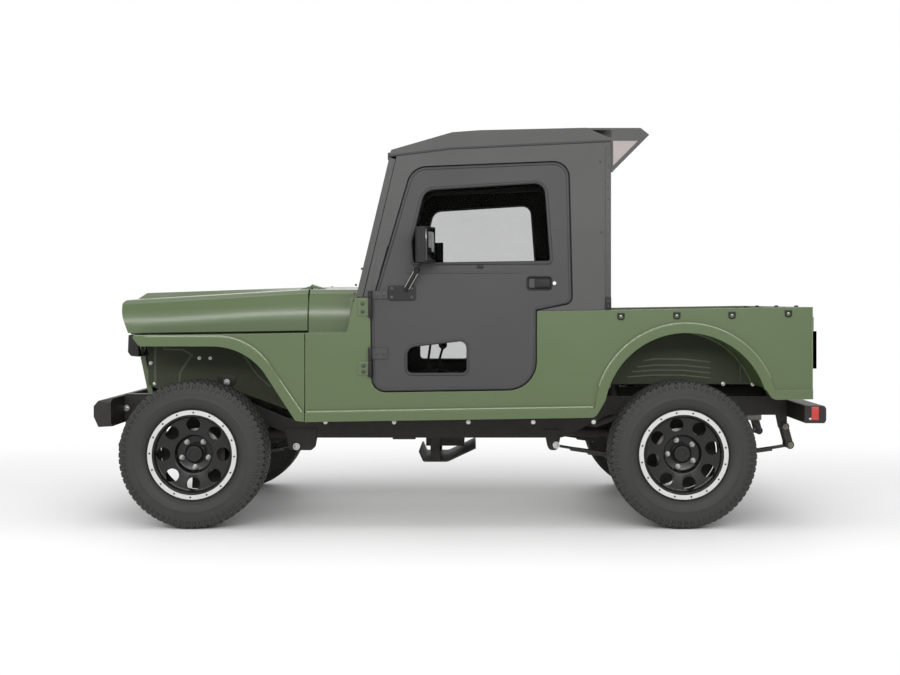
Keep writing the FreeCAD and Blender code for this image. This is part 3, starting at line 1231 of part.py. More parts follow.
def glazing():
    panes = [windshield_glass()]
    x0 = CAB_REAR_X - CAB_BACK
    panes.append(cross_plate(back_window(8), x0 + 10 + FIT, x0 + 15))
    crown = ROOF_REAR_Z + ROOF_CROWN
    pane_x = CAB_REAR_X + 9 + FIT
    pane_top, pane_low = crown - VISOR_BAND - FIT, crown - VISOR_DROP + VISOR_EDGE + 6
    for side in (-1, 1):
        low, high = sorted((side * (CAB_FACE - 5), side * (CAB_FACE - 1)))
        panes.append(side_plate(
            [(pane_x, pane_low), (pane_x + pane_top - pane_low, pane_top), (pane_x, pane_top)],
                                low, high))
    return panes


# Doors, mirrors and their glass
def door_window(grow):
    s = station
    return [(s(1091) - grow, 1312 - grow, 16), (s(1083) - grow, 1424, 60), (s(1146) - grow, 1686 + grow, 70),
            (s(1754) + grow, 1724 + grow, 60), (s(1784) + grow, 1322 - grow, 16)]


def kick_window(grow):
    s = station
    return [(s(1060) - grow, 766 - grow, 30), (s(1060) - grow, 905 + grow, 50), (s(1368) + grow, 942 + grow, 40),
            (s(1368) + grow, 766 - grow, 30)]


def door():
    """Right-hand door with its window, low kick window, handle and hinge leaves."""
    y0, y1 = BODY_HALF - 28, BODY_HALF
    panel = side_plate(door_lower(), y0, y1)
    cuts = [side_plate(door_window(0), y0 - 1, y1 + 1), side_plate(door_window(9), y0 + 12, y0 + 18),
            side_plate(kick_window(0), y0 - 1, y1 + 1), side_plate(kick_window(9), y0 + 12, y0 + 18)]
    panel = panel.cut(cuts)
    s = station
    cup = side_plate([(s(1662), 1186, 14), (s(1782), 1186, 14), (s(1782), 1250, 14), (s(1662), 1250, 14)],
                     y1 - 12, y1 + 1)
    paddle = side_plate([(s(1670), 1196, 8), (s(1762), 1196, 8), (s(1762), 1240, 8), (s(1670), 1240, 8)],
                        y1 - 13, y1 + 3)
    whole = join([panel.cut(cup), paddle] + [pair[1] for pair in HINGES])
    return whole


def door_glass():
    y0 = BODY_HALF - 28
    return [side_plate(door_window(7), y0 + 12 + FIT, y0 + 17), side_plate(kick_window(7), y0 + 12 + FIT, y0 + 17)]


def mirror():
    s = station
    base = side_plate([(s(973), 1134, 8), (s(1107), 1134, 8), (s(1107), 1206, 8), (s(973), 1206, 8)],
                      BODY_HALF, BODY_HALF + 10)
    arm = rod((s(1060), BODY_HALF + 13, 1180), (s(1150), BODY_HALF + 76, 1340), 9)
    head = plan_plate(
        [(s(1113), BODY_HALF + 58, 12), (s(1113), BODY_HALF + 145, 18), (s(1160), BODY_HALF + 160, 4),
         (s(1210), BODY_HALF + 53, 4)], 1319, 1492)
    return join([base, arm, head])


# Cabin fittings
SEAT_TOP = 860.0
PAD_TOP_Z = SCREEN_LOW_Z - SHEET - FIT
WHEEL_CENTRE = (station(1175), 420.0 - BODY_HALF, 1130.0)
COLUMN_LEAN = math.radians(32)


def seats():
    solids = []
    s = station
    for side in (-1, 1):
        low, high = sorted((side * 180, side * (INNER - 78)))
        solids.append(join([
            box(s(1400), s(1800), low + 30, high - 30, FLOOR_Z + SHEET, 740),
            side_plate(
                [(s(1370), 740, 10), (s(1840), 740, 10), (s(1840), SEAT_TOP, 30), (s(1370), SEAT_TOP + 20, 40)],
                       low, high),
            side_plate(
                [(s(1800), 790, 10), (s(1900), 790, 20), (s(1985), 1400, 40), (s(1890), 1400, 40)], low, high),
        ]))
    return solids


def dashboard():
    s = station
    pad = side_plate(
        [(s(812), 1000), (s(990), 1000, 20), (s(950), PAD_TOP_Z, 30), (s(812), PAD_TOP_Z)],
        -INNER + 32, INNER - 32)
    x, y, z = WHEEL_CENTRE
    direction = Vector(math.cos(COLUMN_LEAN), 0, math.sin(COLUMN_LEAN))
    hub = Vector(x, y, z)
    column = rod(tuple(hub - direction * 30), tuple(hub - direction * 270), 26)
    pin = rod(tuple(hub + direction * 20), tuple(hub - direction * 60), 9)
    return join([pad, column, pin])


def steering_wheel():
    x, y, z = WHEEL_CENTRE
    direction = Vector(math.cos(COLUMN_LEAN), 0, math.sin(COLUMN_LEAN))
    hub = Vector(x, y, z)
    rim = Part.makeTorus(190, 13, hub, direction)
    centre = rod(tuple(hub - direction * 20), tuple(hub + direction * 14), 40)
    across = Vector(0, 1, 0)
    upward = direction.cross(across)
    pieces = [rim, centre]
    for angle in (90, 210, 330):
        spoke = across * math.cos(math.radians(angle)) + upward * math.sin(math.radians(angle))
        pieces.append(rod(tuple(hub), tuple(hub + spoke * 188), 9))
    hole = rod(tuple(hub - direction * 80), tuple(hub + direction * 40), 9 + PIN_CLEARANCE)
    return join(pieces).cut(hole)


def build():
    right = {
        "front_fender": front_wing(), "body_side": body_side(), "cab_side": cab_side(), "door": door(),
        "mirror": mirror(),
    }
    glass = door_glass()
    nodes = {
        "frame_rails": [frame_rail(s) for s in (-1, 1)], "crossmembers": crossmembers(),
        "skid_plate": skid_plate(), "front_axle": front_axle(), "rear_axle": rear_axle(),
        "springs": [leaf_pack(FRONT_AXLE_X, FRONT_SPRING_HALF, s) for s in (-1, 1)]
        + [leaf_pack(REAR_AXLE_X, REAR_SPRING_HALF, s) for s in (-1, 1)],
        "shackles": [shackle(FRONT_SHACKLE_X, FRONT_SHACKLE_X + SHACKLE_LEAN + 8, s) for s in (-1, 1)]
        + [shackle(REAR_SHACKLE_X, REAR_SHACKLE_X - SHACKLE_LEAN, s) for s in (-1, 1)],
        "dampers": dampers(), "powertrain": powertrain(), "propshafts": propshafts(),
        "exhaust": exhaust(), "fuel_tank": fuel_tank(), "radiator": radiator(),
        "front_bumper": front_bumper(), "rear_bumper": rear_bumper(),
        "tail_lamps": tail_lamps(), "headlamps": headlamps(), "lamp_shrouds": both_sides(lamp_shroud()),
        "cab_floor": cab_floor(), "load_floor": load_floor(),
        "wheel_boxes": [wheel_box(s) for s in (-1, 1)],
        "cowl": cowl(), "grille_panel": grille_panel(), "hood": hood(),
        "windshield_frame": windshield_frame(), "cab_back": cab_back(), "cab_roof": cab_roof(),
        "glazing": glazing(), "seats": seats(), "dashboard": dashboard(),
        "steering_wheel": steering_wheel(), "tailgate": tailgate(), "tie_rod": tie_rod(),
        "knuckle_left": knuckle(-1), "knuckle_right": knuckle(1),
        "door_glass_left": [mirrored(pane) for pane in glass], "door_glass_right": glass,
    }
    for name, shape in right.items():
        nodes[name + "_right"] = shape
        nodes[name + "_left"] = mirrored(shape)
    for end, x in (("front", FRONT_AXLE_X), ("rear", REAR_AXLE_X)):
        for name, side in (("left", -1), ("right", 1)):
            nodes["tyre_" + end + "_" + name] = tyre(x, side)
            nodes["wheel_" + end + "_" + name] = wheel(x, side, WHEEL_TURN[end])
    return nodes


os.makedirs("parts", exist_ok=True)
for name, shape in build().items():
    if isinstance(shape, list):
        shape = Part.makeCompound([piece for item in shape for piece in item.Solids])
    shape.exportStep("parts/" + name + ".step")
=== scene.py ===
# %% [markdown]
# # Light 4x4 utility pickup with a half cab
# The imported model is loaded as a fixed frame. Every CAD piece stays where it is and gets a finish,
# and pieces that need finer shapes, such as the tyres, are modelled here and take the place of their solids.

# %% Load the frame
import bpy
import json
import math
from mathutils import Matrix, Vector


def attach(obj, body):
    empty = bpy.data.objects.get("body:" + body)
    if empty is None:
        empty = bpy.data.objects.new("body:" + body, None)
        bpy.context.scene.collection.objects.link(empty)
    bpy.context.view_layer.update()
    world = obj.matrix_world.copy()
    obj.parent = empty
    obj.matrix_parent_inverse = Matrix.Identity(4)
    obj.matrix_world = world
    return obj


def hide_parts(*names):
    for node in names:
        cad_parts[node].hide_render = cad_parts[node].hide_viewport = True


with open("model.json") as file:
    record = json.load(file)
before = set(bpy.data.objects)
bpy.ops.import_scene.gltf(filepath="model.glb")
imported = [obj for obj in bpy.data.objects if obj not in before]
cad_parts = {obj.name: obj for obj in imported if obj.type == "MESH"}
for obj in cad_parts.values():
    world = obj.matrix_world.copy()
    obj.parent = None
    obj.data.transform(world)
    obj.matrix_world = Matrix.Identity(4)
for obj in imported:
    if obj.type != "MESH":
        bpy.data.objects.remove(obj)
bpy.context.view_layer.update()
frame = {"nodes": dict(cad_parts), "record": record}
nodes = frame["nodes"]

# %% [markdown]
# ## Camera
# The photograph is a straight side view from about seven metres, so the camera stands level, square to the
# car's left side. A small shift moves the picture without turning the camera, so uprights stay upright.

# %% Camera
CAMERA_PLACE = (0.084, -6.90, 1.135)
LENS = 49.5
PHOTO_WIDTH, PHOTO_HEIGHT = 900, 675
EYE_PIXEL = (473, 300)

camera_data = bpy.data.cameras.new("photo_camera")
camera = bpy.data.objects.new("photo_camera", camera_data)
bpy.context.scene.collection.objects.link(camera)
camera.location = CAMERA_PLACE
camera.rotation_euler = (math.radians(90), 0, 0)
camera_data.lens = LENS
camera_data.sensor_width = 36
camera_data.shift_x = -(EYE_PIXEL[0] - PHOTO_WIDTH / 2) / PHOTO_WIDTH
camera_data.shift_y = -(PHOTO_HEIGHT / 2 - EYE_PIXEL[1]) / PHOTO_WIDTH
bpy.context.scene.camera = camera
bpy.context.scene.view_settings.view_transform = "Standard"
print("camera at", CAMERA_PLACE, "lens", LENS)

# %% [markdown]
# ## Stage and light
# A white studio is a pale floor with large soft lamps. The world looks white to the camera and in
# reflections, but lights the car only gently, so that the green keeps its depth.

# %% Floor
def select_only(*objects):
    """Selects these objects alone and makes the first one active."""
    bpy.ops.object.select_all(action="DESELECT")
    for item in objects:
        item.select_set(True)
    bpy.context.view_layer.objects.active = objects[0]


bpy.ops.object.select_all(action="DESELECT")
FLOOR_REACH = 40.0
bpy.ops.mesh.primitive_plane_add(size=FLOOR_REACH, location=(0, 0, -0.0005))
floor_sheet = bpy.context.active_object
floor_sheet.name = "studio_floor"


# %% [markdown]
# ## Helpers for materials
# Each finish is a material of its own. A `Recipe` starts one. Its add() makes a node and says at once what
# goes into each input, so that a recipe below reads as a short list of what the real surface has.

# %% Material helpers
class Recipe:
    """A material, or another tree of shader nodes, while it is being built."""

    def __init__(self, name, tree=None):
        if tree is None:
            self.material = bpy.data.materials.new(name)
            self.material.use_nodes = True
            tree = self.material.node_tree
            self.shader = tree.nodes["Principled BSDF"]
        self.tree = tree

    def feed(self, node, inputs):
        """Sets each input of the node to a value, or links it to another node's output."""
        for key, source in inputs.items():
            if isinstance(source, bpy.types.NodeSocket):
                self.tree.links.new(source, node.inputs[key])
            else:
                node.inputs[key].default_value = source
        return node

    def add(self, kind, inputs=None, **settings):
        """New node with these settings, its inputs fed."""
        node = self.tree.nodes.new(kind)
        for key, value in settings.items():
            setattr(node, key, value)
        return self.feed(node, inputs or {})

    def group(self, tree, **inputs):
        """Node that brings in a shared effect."""
        node = self.add("ShaderNodeGroup")
        node.node_tree = tree
        return self.feed(node, inputs)

    def place(self):
        """Where the point lies on the car."""
        return self.add("ShaderNodeTexCoord").outputs["Object"]

    def mixed(self, mask, first, second, kind="RGBA"):
        """First where the mask is 0, second where it is 1."""
        inputs = {"Factor": mask, "A": first, "B": second}
        return self.add("ShaderNodeMix", inputs, data_type=kind).outputs["Result"]

    def ranged(self, value, low, high):
        """Low where the value is 0, high where it is 1."""
        inputs = {"Value": value, "To Min": low, "To Max": high}
        return self.add("ShaderNodeMapRange", inputs).outputs["Result"]

    def bumped(self, height, depth, strength=1.0, **normal):
        """Normal of a surface whose grain has this depth."""
        inputs = {"Height": height, "Distance": depth, "Strength": strength, **normal}
        return self.add("ShaderNodeBump", inputs).outputs["Normal"]

    def maths(self, operation, first, second, clamped=False):
        """Result of one step of arithmetic on two values."""
        inputs = {0: first, 1: second}
        return self.add("ShaderNodeMath", inputs, operation=operation, use_clamp=clamped).outputs["Value"]


# %% Shader groups
def new_group(name, inputs, outputs):
    """Empty shader group with named sockets: its recipe, what it is given and its output node."""
    tree = bpy.data.node_groups.new(name, "ShaderNodeTree")
    for label, kind in inputs:
        tree.interface.new_socket(label, in_out="INPUT", socket_type=kind)
    for label, kind in outputs:
        tree.interface.new_socket(label, in_out="OUTPUT", socket_type=kind)
    recipe = Recipe(name, tree)
    return recipe, recipe.add("NodeGroupInput").outputs, recipe.add("NodeGroupOutput")


FLOAT, COLOUR, VECTOR = "NodeSocketFloat", "NodeSocketColor", "NodeSocketVector"

# %% [markdown]
# ## Shared effects
# Three effects come back in nearly every finish. Folded steel has small rounded edges that catch the light,
# so one group rounds the edges of a surface's normal and gives a mask of where they are; the finishes paint
# the edges lighter there, a painted highlight. Paint and plastic are never quite even, so one group mottles a
# colour.
# And everything near the road carries a little dust.

# %% Rounded edges
recipe, given, result = new_group(
    "rounded_edges", [("Width", FLOAT), ("Strength", FLOAT)], [("Normal", VECTOR), ("Mask", FLOAT)])
bevel = recipe.add("ShaderNodeBevel", {"Radius": given["Width"]}, samples=6)
geometry = recipe.add("ShaderNodeNewGeometry")
alike = recipe.add("ShaderNodeVectorMath", {0: bevel.outputs["Normal"], 1: geometry.outputs["Normal"]},
                   operation="DOT_PRODUCT")
turned = recipe.maths("SUBTRACT", 1.0, alike.outputs["Value"])
recipe.feed(result, {"Normal": bevel.outputs["Normal"],
                     "Mask": recipe.maths("MULTIPLY", turned, given["Strength"], clamped=True)})
rounded_edges = recipe.tree

# %% Uneven colour
recipe, given, result = new_group(
    "mottle", [("Color", COLOUR), ("Scale", FLOAT), ("Amount", FLOAT)], [("Color", COLOUR), ("Value", FLOAT)])
clouds = recipe.add("ShaderNodeTexNoise", {"Vector": recipe.place(), "Scale": given["Scale"], "Detail": 4.0,
                                           "Roughness": 0.6}).outputs["Fac"]
scaled = recipe.maths("MULTIPLY", recipe.maths("SUBTRACT", clouds, 0.5), given["Amount"])
tinted = recipe.add("ShaderNodeVectorMath", operation="SCALE")
recipe.feed(tinted, {0: given["Color"], "Scale": recipe.maths("ADD", scaled, 1.0)})
recipe.feed(result, {"Color": tinted.outputs["Vector"], "Value": clouds})
mottle = recipe.tree

# %% Road dust
recipe, given, result = new_group("road_dust", [("Top", FLOAT), ("Amount", FLOAT)], [("Mask", FLOAT)])
place = recipe.place()
height = recipe.add("ShaderNodeSeparateXYZ", {"Vector": place}).outputs["Z"]
fade = recipe.add("ShaderNodeMapRange", {"Value": height, "From Min": 0.0, "From Max": given["Top"],
                                         "To Min": 1.0, "To Max": 0.0}).outputs["Result"]
specks = recipe.add("ShaderNodeTexNoise", {"Vector": place, "Scale": 22.0, "Detail": 5.0, "Roughness": 0.7})
patchy = recipe.maths("MULTIPLY", fade, specks.outputs["Fac"])
recipe.feed(result, {"Mask": recipe.maths("MULTIPLY", patchy, given["Amount"], clamped=True)})
road_dust = recipe.tree

# %% [markdown]
# ## Coated steel
# Most of the car is steel with a coat of paint, and the coats differ only in colour, gloss and grain. One
# function builds them: an uneven colour, a fine bump for the coat's skin, rounded edges painted lighter as a
# painted highlight, and a little dust.

# %% Coated steel
DUST_COLOUR = (0.23, 0.2, 0.16, 1)
DUST_ROUGHNESS = 0.9


def coated(name, colour, roughness, grain_scale, grain_depth, dust=0.0, dust_top=0.9, edge_width=0.003,
           edge_highlight_tone=1.35, edge_strength=1.2, coat=0.0, metallic=0.0, mottle_amount=0.12, mottle_scale=2.4,
           specular=0.5):
    """Painted, powder-coated or bare metal with grain, rounded edges painted lighter as a painted highlight,
    and dust near the road.
    """
    recipe = Recipe(name)
    tone = recipe.group(mottle, Color=(*colour, 1), Scale=mottle_scale, Amount=mottle_amount).outputs
    edges = recipe.group(rounded_edges, Width=edge_width, Strength=edge_strength).outputs
    dusty = recipe.group(road_dust, Top=dust_top, Amount=dust).outputs["Mask"]
    bright = (*[min(1.0, c * edge_highlight_tone + 0.01) for c in colour], 1)
    gloss = recipe.ranged(tone["Value"], roughness * 0.85, min(1.0, roughness * 1.15))
    grain = recipe.add("ShaderNodeTexNoise", {"Vector": recipe.place(), "Scale": grain_scale, "Detail": 3.0,
                                              "Roughness": 0.55}).outputs["Fac"]
    # Painted highlight: the colour is mixed towards a lighter tone along the rounded edges.
    edge_highlight = recipe.mixed(edges["Mask"], tone["Color"], bright)
    recipe.feed(recipe.shader, {
        "Base Color": recipe.mixed(dusty, edge_highlight, DUST_COLOUR),
        "Roughness": recipe.mixed(dusty, gloss, DUST_ROUGHNESS, "FLOAT"),
        "Normal": recipe.bumped(grain, grain_depth, Normal=edges["Normal"]),
        "Metallic": metallic, "Specular IOR Level": specular, "Coat Weight": coat, "Coat Roughness": 0.18})
    return recipe.material


OLIVE = (0.059, 0.091, 0.03)
# Painted highlight: the olive paint is painted much lighter in a wide band along its edges.
olive_paint = coated("olive_paint", OLIVE, 0.36, 900, 0.00005, dust=0.1, coat=0.3, mottle_amount=0.04,
                     edge_width=0.005, edge_highlight_tone=2.0, edge_strength=3.0)
cab_black = coated("cab_powder_coat", (0.043, 0.043, 0.042), 0.58, 1400, 0.00012, mottle_amount=0.08)
door_black = coated("door_powder_coat", (0.026, 0.025, 0.025), 0.58, 1400, 0.00012, mottle_amount=0.08)
chassis_black = coated("chassis_black", (0.007, 0.007, 0.006), 0.5, 500, 0.0002, dust=0.2, specular=0.3)
spring_black = coated("spring_black", (0.008, 0.008, 0.007), 0.5, 600, 0.0002, dust=0.3, specular=0.35)
casting = coated("rough_casting", (0.03, 0.03, 0.03), 0.6, 420, 0.0005, dust=0.4, metallic=0.4)
exhaust_steel = coated("exhaust_steel", (0.22, 0.2, 0.18), 0.45, 300, 0.0003, dust=0.4, metallic=0.9)
tank_black = coated("tank_black", (0.008, 0.008, 0.008), 0.45, 700, 0.0001, dust=0.25, specular=0.35)
core_alloy = coated("core_alloy", (0.2, 0.2, 0.2), 0.4, 800, 0.0002, metallic=0.9)
trim_black = coated("trim_black", (0.007, 0.007, 0.007), 0.55, 1800, 0.00015, specular=0.3)
seat_vinyl = coated("seat_vinyl", (0.012, 0.012, 0.012), 0.65, 700, 0.0004, specular=0.3)
print("coated materials:", len(bpy.data.materials))

# %% [markdown]
# ## Glass and lamps
# Window glass is thin and slightly grey. A plain transmissive shader on a closed pane gives the tint, and its
# low index keeps reflections faint, so that the dark cab shows without grain. Lamp lenses are the same glass
# with colour, over a bright bowl.

# %% Glass
def glass(name, colour, roughness):
    """Clear or tinted glass."""
    recipe = Recipe(name)
    tone = recipe.group(mottle, Color=(*colour, 1), Scale=6.0, Amount=0.05)
    recipe.feed(recipe.shader, {"Base Color": tone.outputs["Color"], "Roughness": roughness,
                                "Transmission Weight": 1.0, "IOR": 1.1})
    return recipe.material


cabin_glass = glass("cabin_glass", (0.715, 0.72, 0.717), 0.0)
red_lens = glass("red_lens", (0.6, 0.01, 0.01), 0.08)
clear_lens = glass("clear_lens", (0.95, 0.95, 0.95), 0.03)

# %% [markdown]
# ## Finishes on the CAD pieces
# A CAD piece whose shape is right keeps its mesh and only gets a material in its slot.

# %% Give each CAD piece its finish
FINISHES = {
    "olive_paint": olive_paint, "cab_black": cab_black, "door_black": door_black,
    "chassis_black": chassis_black, "spring_steel": spring_black, "cast_grey": casting,
    "exhaust_steel": exhaust_steel, "tank_black": tank_black, "radiator_alloy": core_alloy,
    "wheel_black": chassis_black, "tyre_rubber": trim_black, "cabin_glass": cabin_glass,
    "lamp_red": red_lens, "lamp_clear": clear_lens, "seat_cloth": seat_vinyl, "trim_plastic": trim_black,
}
for entry in frame["record"]["subparts"]:
    mesh = nodes[entry["node"]].data
    mesh.materials.clear()
    mesh.materials.append(FINISHES[entry["material_slot"]])

# %% [markdown]
# ## Floor finish and lamps
# The floor takes the car's shadow and fades to pure white further out, as in the photograph. The lamps are
# large and soft, and a low strip at the side draws the bright bands along the body.

# %% Studio floor finish
CAR_MIDDLE = (0.08, 0.0, 0.0)
SHADOW_SHAPE = (0.62, 1.25, 0)
SHADOW_REACH = (1.6, 4.2)
recipe = Recipe("floor_white")
tone = recipe.group(mottle, Color=(0.9, 0.9, 0.9, 1), Scale=0.5, Amount=0.01)
recipe.feed(recipe.shader, {"Base Color": tone.outputs["Color"], "Roughness": 0.6})
from_car = recipe.add("ShaderNodeVectorMath", {0: recipe.place(), 1: CAR_MIDDLE}, operation="SUBTRACT")
oval = recipe.add("ShaderNodeVectorMath", {0: from_car.outputs["Vector"], 1: SHADOW_SHAPE},
                  operation="MULTIPLY")
distance = recipe.add("ShaderNodeVectorMath", {0: oval.outputs["Vector"]}, operation="LENGTH")
whiter = recipe.add("ShaderNodeMapRange", {
    "Value": distance.outputs["Value"], "From Min": SHADOW_REACH[0], "From Max": SHADOW_REACH[1]},
    interpolation_type="SMOOTHSTEP")
white = recipe.add("ShaderNodeEmission", {"Strength": 1.0})
faded = recipe.add("ShaderNodeMixShader", {
    "Fac": whiter.outputs["Result"], 1: recipe.shader.outputs["BSDF"], 2: white.outputs["Emission"]})
recipe.feed(recipe.tree.nodes["Material Output"], {"Surface": faded.outputs["Shader"]})
floor_sheet.data.materials.append(recipe.material)

# %% World and lamps
WORLD_LIGHT = 0.61
world = bpy.data.worlds.new("studio")
bpy.context.scene.world = world
world.use_nodes = True
recipe = Recipe("studio_world", world.node_tree)
rays = recipe.add("ShaderNodeLightPath").outputs
seen = recipe.maths("MAXIMUM", rays["Is Camera Ray"], rays["Is Transmission Ray"])
mirrored = recipe.maths("MAXIMUM", seen, rays["Is Glossy Ray"])
recipe.feed(world.node_tree.nodes["Background"],
            {"Color": (1, 1, 1, 1), "Strength": recipe.ranged(mirrored, WORLD_LIGHT, 1.0)})


def lamp(name, place, target, width, height, power):
    """Large soft rectangular lamp at place, turned towards target."""
    data = bpy.data.lights.new(name, "AREA")
    data.shape = "RECTANGLE"
    data.size, data.size_y, data.energy = width, height, power
    item = bpy.data.objects.new(name, data)
    bpy.context.scene.collection.objects.link(item)
    item.location = place
    item.rotation_euler = (Vector(target) - Vector(place)).to_track_quat("-Z", "Y").to_euler()
    item.visible_camera = item.visible_transmission = False


lamp("overhead_softbox", (0, -0.5, 5.0), (0, 0, 0.8), 6.0, 2.4, 75)
lamp("front_softbox", (-4.5, -4.5, 2.6), (-0.5, 0, 0.9), 2.5, 2.5, 25)
lamp("rear_softbox", (4.5, -4.5, 2.6), (0.8, 0, 0.9), 2.5, 2.5, 18)
lamp("side_strip", (0.0, -5.2, 2.7), (0.0, -0.7, 1.05), 7.0, 0.8, 190)
lamp("far_softbox", (0, 5.5, 3.6), (0, 0, 0.8), 7.0, 4.0, 80)
print("lamps:", len(bpy.data.lights))

# %% [markdown]
# ## Helpers for modelling
# Everything new is made as on a workbench. A wire is drawn by extruding one point, then filled and
# thickened into a plate, spun into a turned piece, or given a round section like a rubber seal. Blocks and
# bars start as primitives and are pushed into shape by their faces, and sharp edges are bevelled.

# %% Selecting and finishing
def pick(piece, kind, test):
    """Opens the piece in edit mode with the faces or points selected for which test holds."""
    select_only(piece)
    mesh = piece.data
    bpy.context.tool_settings.mesh_select_mode = (kind == "points", False, kind == "faces")
    mesh.vertices.foreach_set("select", [kind == "points" and bool(test(v.co)) for v in mesh.vertices])
    mesh.edges.foreach_set("select", [False] * len(mesh.edges))
    mesh.polygons.foreach_set(
        "select", [kind == "faces" and bool(test(f.center, f.normal)) for f in mesh.polygons])
    bpy.ops.object.mode_set(mode="EDIT")


def object_mode():
    """Leaves edit mode."""
    bpy.ops.object.mode_set(mode="OBJECT")


def faces_out():
    """Turns every face of the piece in edit mode outwards, and leaves edit mode."""
    bpy.ops.mesh.select_all(action="SELECT")
    bpy.ops.mesh.normals_make_consistent(inside=False)
    object_mode()


def pushed(piece, test, offset):
    """Moves the points for which test holds."""
    pick(piece, "points", test)
    bpy.ops.transform.translate(value=offset)
    object_mode()
    return piece


def narrowed(piece, test, factors, centre):
    """Scales the points for which test holds about centre."""
    pick(piece, "points", test)
    bpy.ops.transform.resize(value=factors, center_override=centre)
    object_mode()
    return piece


# %% Modifiers, finish and place
def apply_modifiers(piece):
    """Works the piece's modifiers into its mesh."""
    select_only(piece)
    for modifier in list(piece.modifiers):
        bpy.ops.object.modifier_apply(modifier=modifier.name)


def bevelled(piece, width, segments=2, angle=35.0):
    """Rounds every edge sharper than angle."""
    modifier = piece.modifiers.new("round", "BEVEL")
    modifier.width, modifier.segments = width, segments
    modifier.limit_method, modifier.angle_limit = "ANGLE", math.radians(angle)
    apply_modifiers(piece)
    return piece


def finished(piece, body, material, smooth=35.0):
    """Smooths the piece and gives it its finish, slot and body."""
    select_only(piece)
    bpy.ops.object.transform_apply(location=True, rotation=True, scale=True)
    bpy.ops.object.shade_smooth_by_angle(angle=math.radians(smooth))
    piece.data.materials.clear()
    piece.data.materials.append(material)
    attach(piece, body)
    return piece


def placed(piece, place):
    """The piece put at its place, which goes into its mesh."""
    select_only(piece)
    piece.matrix_world = place
    bpy.ops.object.transform_apply(location=True, rotation=True, scale=True)
    return piece


# %% Drawing wires, turned pieces and plates
def drawn(name, points):
    """Wire through the points, extruded from its first one; it is left in edit mode, all selected."""
    bpy.ops.object.select_all(action="DESELECT")
    bpy.ops.mesh.primitive_plane_add(size=0.01, location=points[0])
    piece = bpy.context.active_object
    piece.name = name
    bpy.ops.object.transform_apply(location=True, rotation=True, scale=True)
    bpy.context.tool_settings.mesh_select_mode = (True, False, False)
    bpy.ops.object.mode_set(mode="EDIT")
    bpy.ops.mesh.select_all(action="SELECT")
    bpy.ops.mesh.merge(type="CENTER")
    for start, end in zip(points, points[1:]):
        step = Vector(end) - Vector(start)
        bpy.ops.mesh.extrude_vertices_move(TRANSFORM_OT_translate={"value": step})
    bpy.ops.mesh.select_all(action="SELECT")
    bpy.ops.mesh.remove_doubles(threshold=0.00002)
    return piece


def lathe(name, profile, steps=96):
    """Piece turned round the Y axis from an outline of (along, radius) points."""
    on_axle = profile[0][1] == 0 and profile[-1][1] == 0
    outline = list(profile) if on_axle else list(profile) + [profile[0]]
    piece = drawn(name, [(0, along, radius) for along, radius in outline])
    bpy.ops.mesh.spin(steps=steps, angle=math.tau, center=(0, 0, 0), axis=(0, 1, 0))
    bpy.ops.mesh.select_all(action="SELECT")
    bpy.ops.mesh.remove_doubles(threshold=0.00002)
    faces_out()
    return piece


def plate(name, corners, thickness, bevel=0.0, segments=2, angle=35.0):
    """Flat plate cut to the outline through corners, with its thickness as a vector."""
    piece = drawn(name, list(corners) + [corners[0]])
    bpy.ops.mesh.edge_face_add()
    bpy.ops.mesh.extrude_region_move(TRANSFORM_OT_translate={"value": thickness})
    faces_out()
    return bevelled(piece, bevel, segments, angle) if bevel else piece


# %% Beads and tubes
def piped(name, points, radius, closed=False, resolution=3):
    """Round bead, wire or tube along the points."""
    piece = drawn(name, list(points) + ([points[0]] if closed else []))
    object_mode()
    bpy.ops.object.convert(target="CURVE")
    piece.data.bevel_depth, piece.data.bevel_resolution = radius, resolution
    piece.data.use_fill_caps = not closed
    bpy.ops.object.convert(target="MESH")
    return piece


def flat_bead(name, points, radius, out, share, closed=False, resolution=2):
    """Bead squeezed towards the plane that stands out millimetres from the middle of the car."""
    piece = piped(name, points, radius, closed, resolution)
    return narrowed(piece, lambda co: True, (1, share, 1), (0, -out / 1000, 0))


# %% Blocks and round bars
def block(name, centre, size, bevel=0.0, segments=2, turn=(0, 0, 0)):
    """Box at its place and size, with rounded edges."""
    bpy.ops.object.select_all(action="DESELECT")
    bpy.ops.mesh.primitive_cube_add(size=1.0, location=centre, rotation=turn, scale=size)
    piece = bpy.context.active_object
    piece.name = name
    bpy.ops.object.transform_apply(location=True, rotation=True, scale=True)
    return bevelled(piece, bevel, segments) if bevel else piece


def drum(name, start, end, radius, sides=24, bevel=0.0, segments=2, tip=None):
    """Round bar from start to end, or a taper where tip gives the radius of its far end."""
    start, end = Vector(start), Vector(end)
    turn = (end - start).to_track_quat("Z", "Y").to_euler()
    bpy.ops.object.select_all(action="DESELECT")
    bpy.ops.mesh.primitive_cone_add(
        vertices=sides, radius1=radius, radius2=radius if tip is None else tip, depth=(end - start).length,
        location=(start + end) / 2, rotation=turn)
    piece = bpy.context.active_object
    piece.name = name
    bpy.ops.object.transform_apply(location=True, rotation=True, scale=True)
    return bevelled(piece, bevel, segments) if bevel else piece


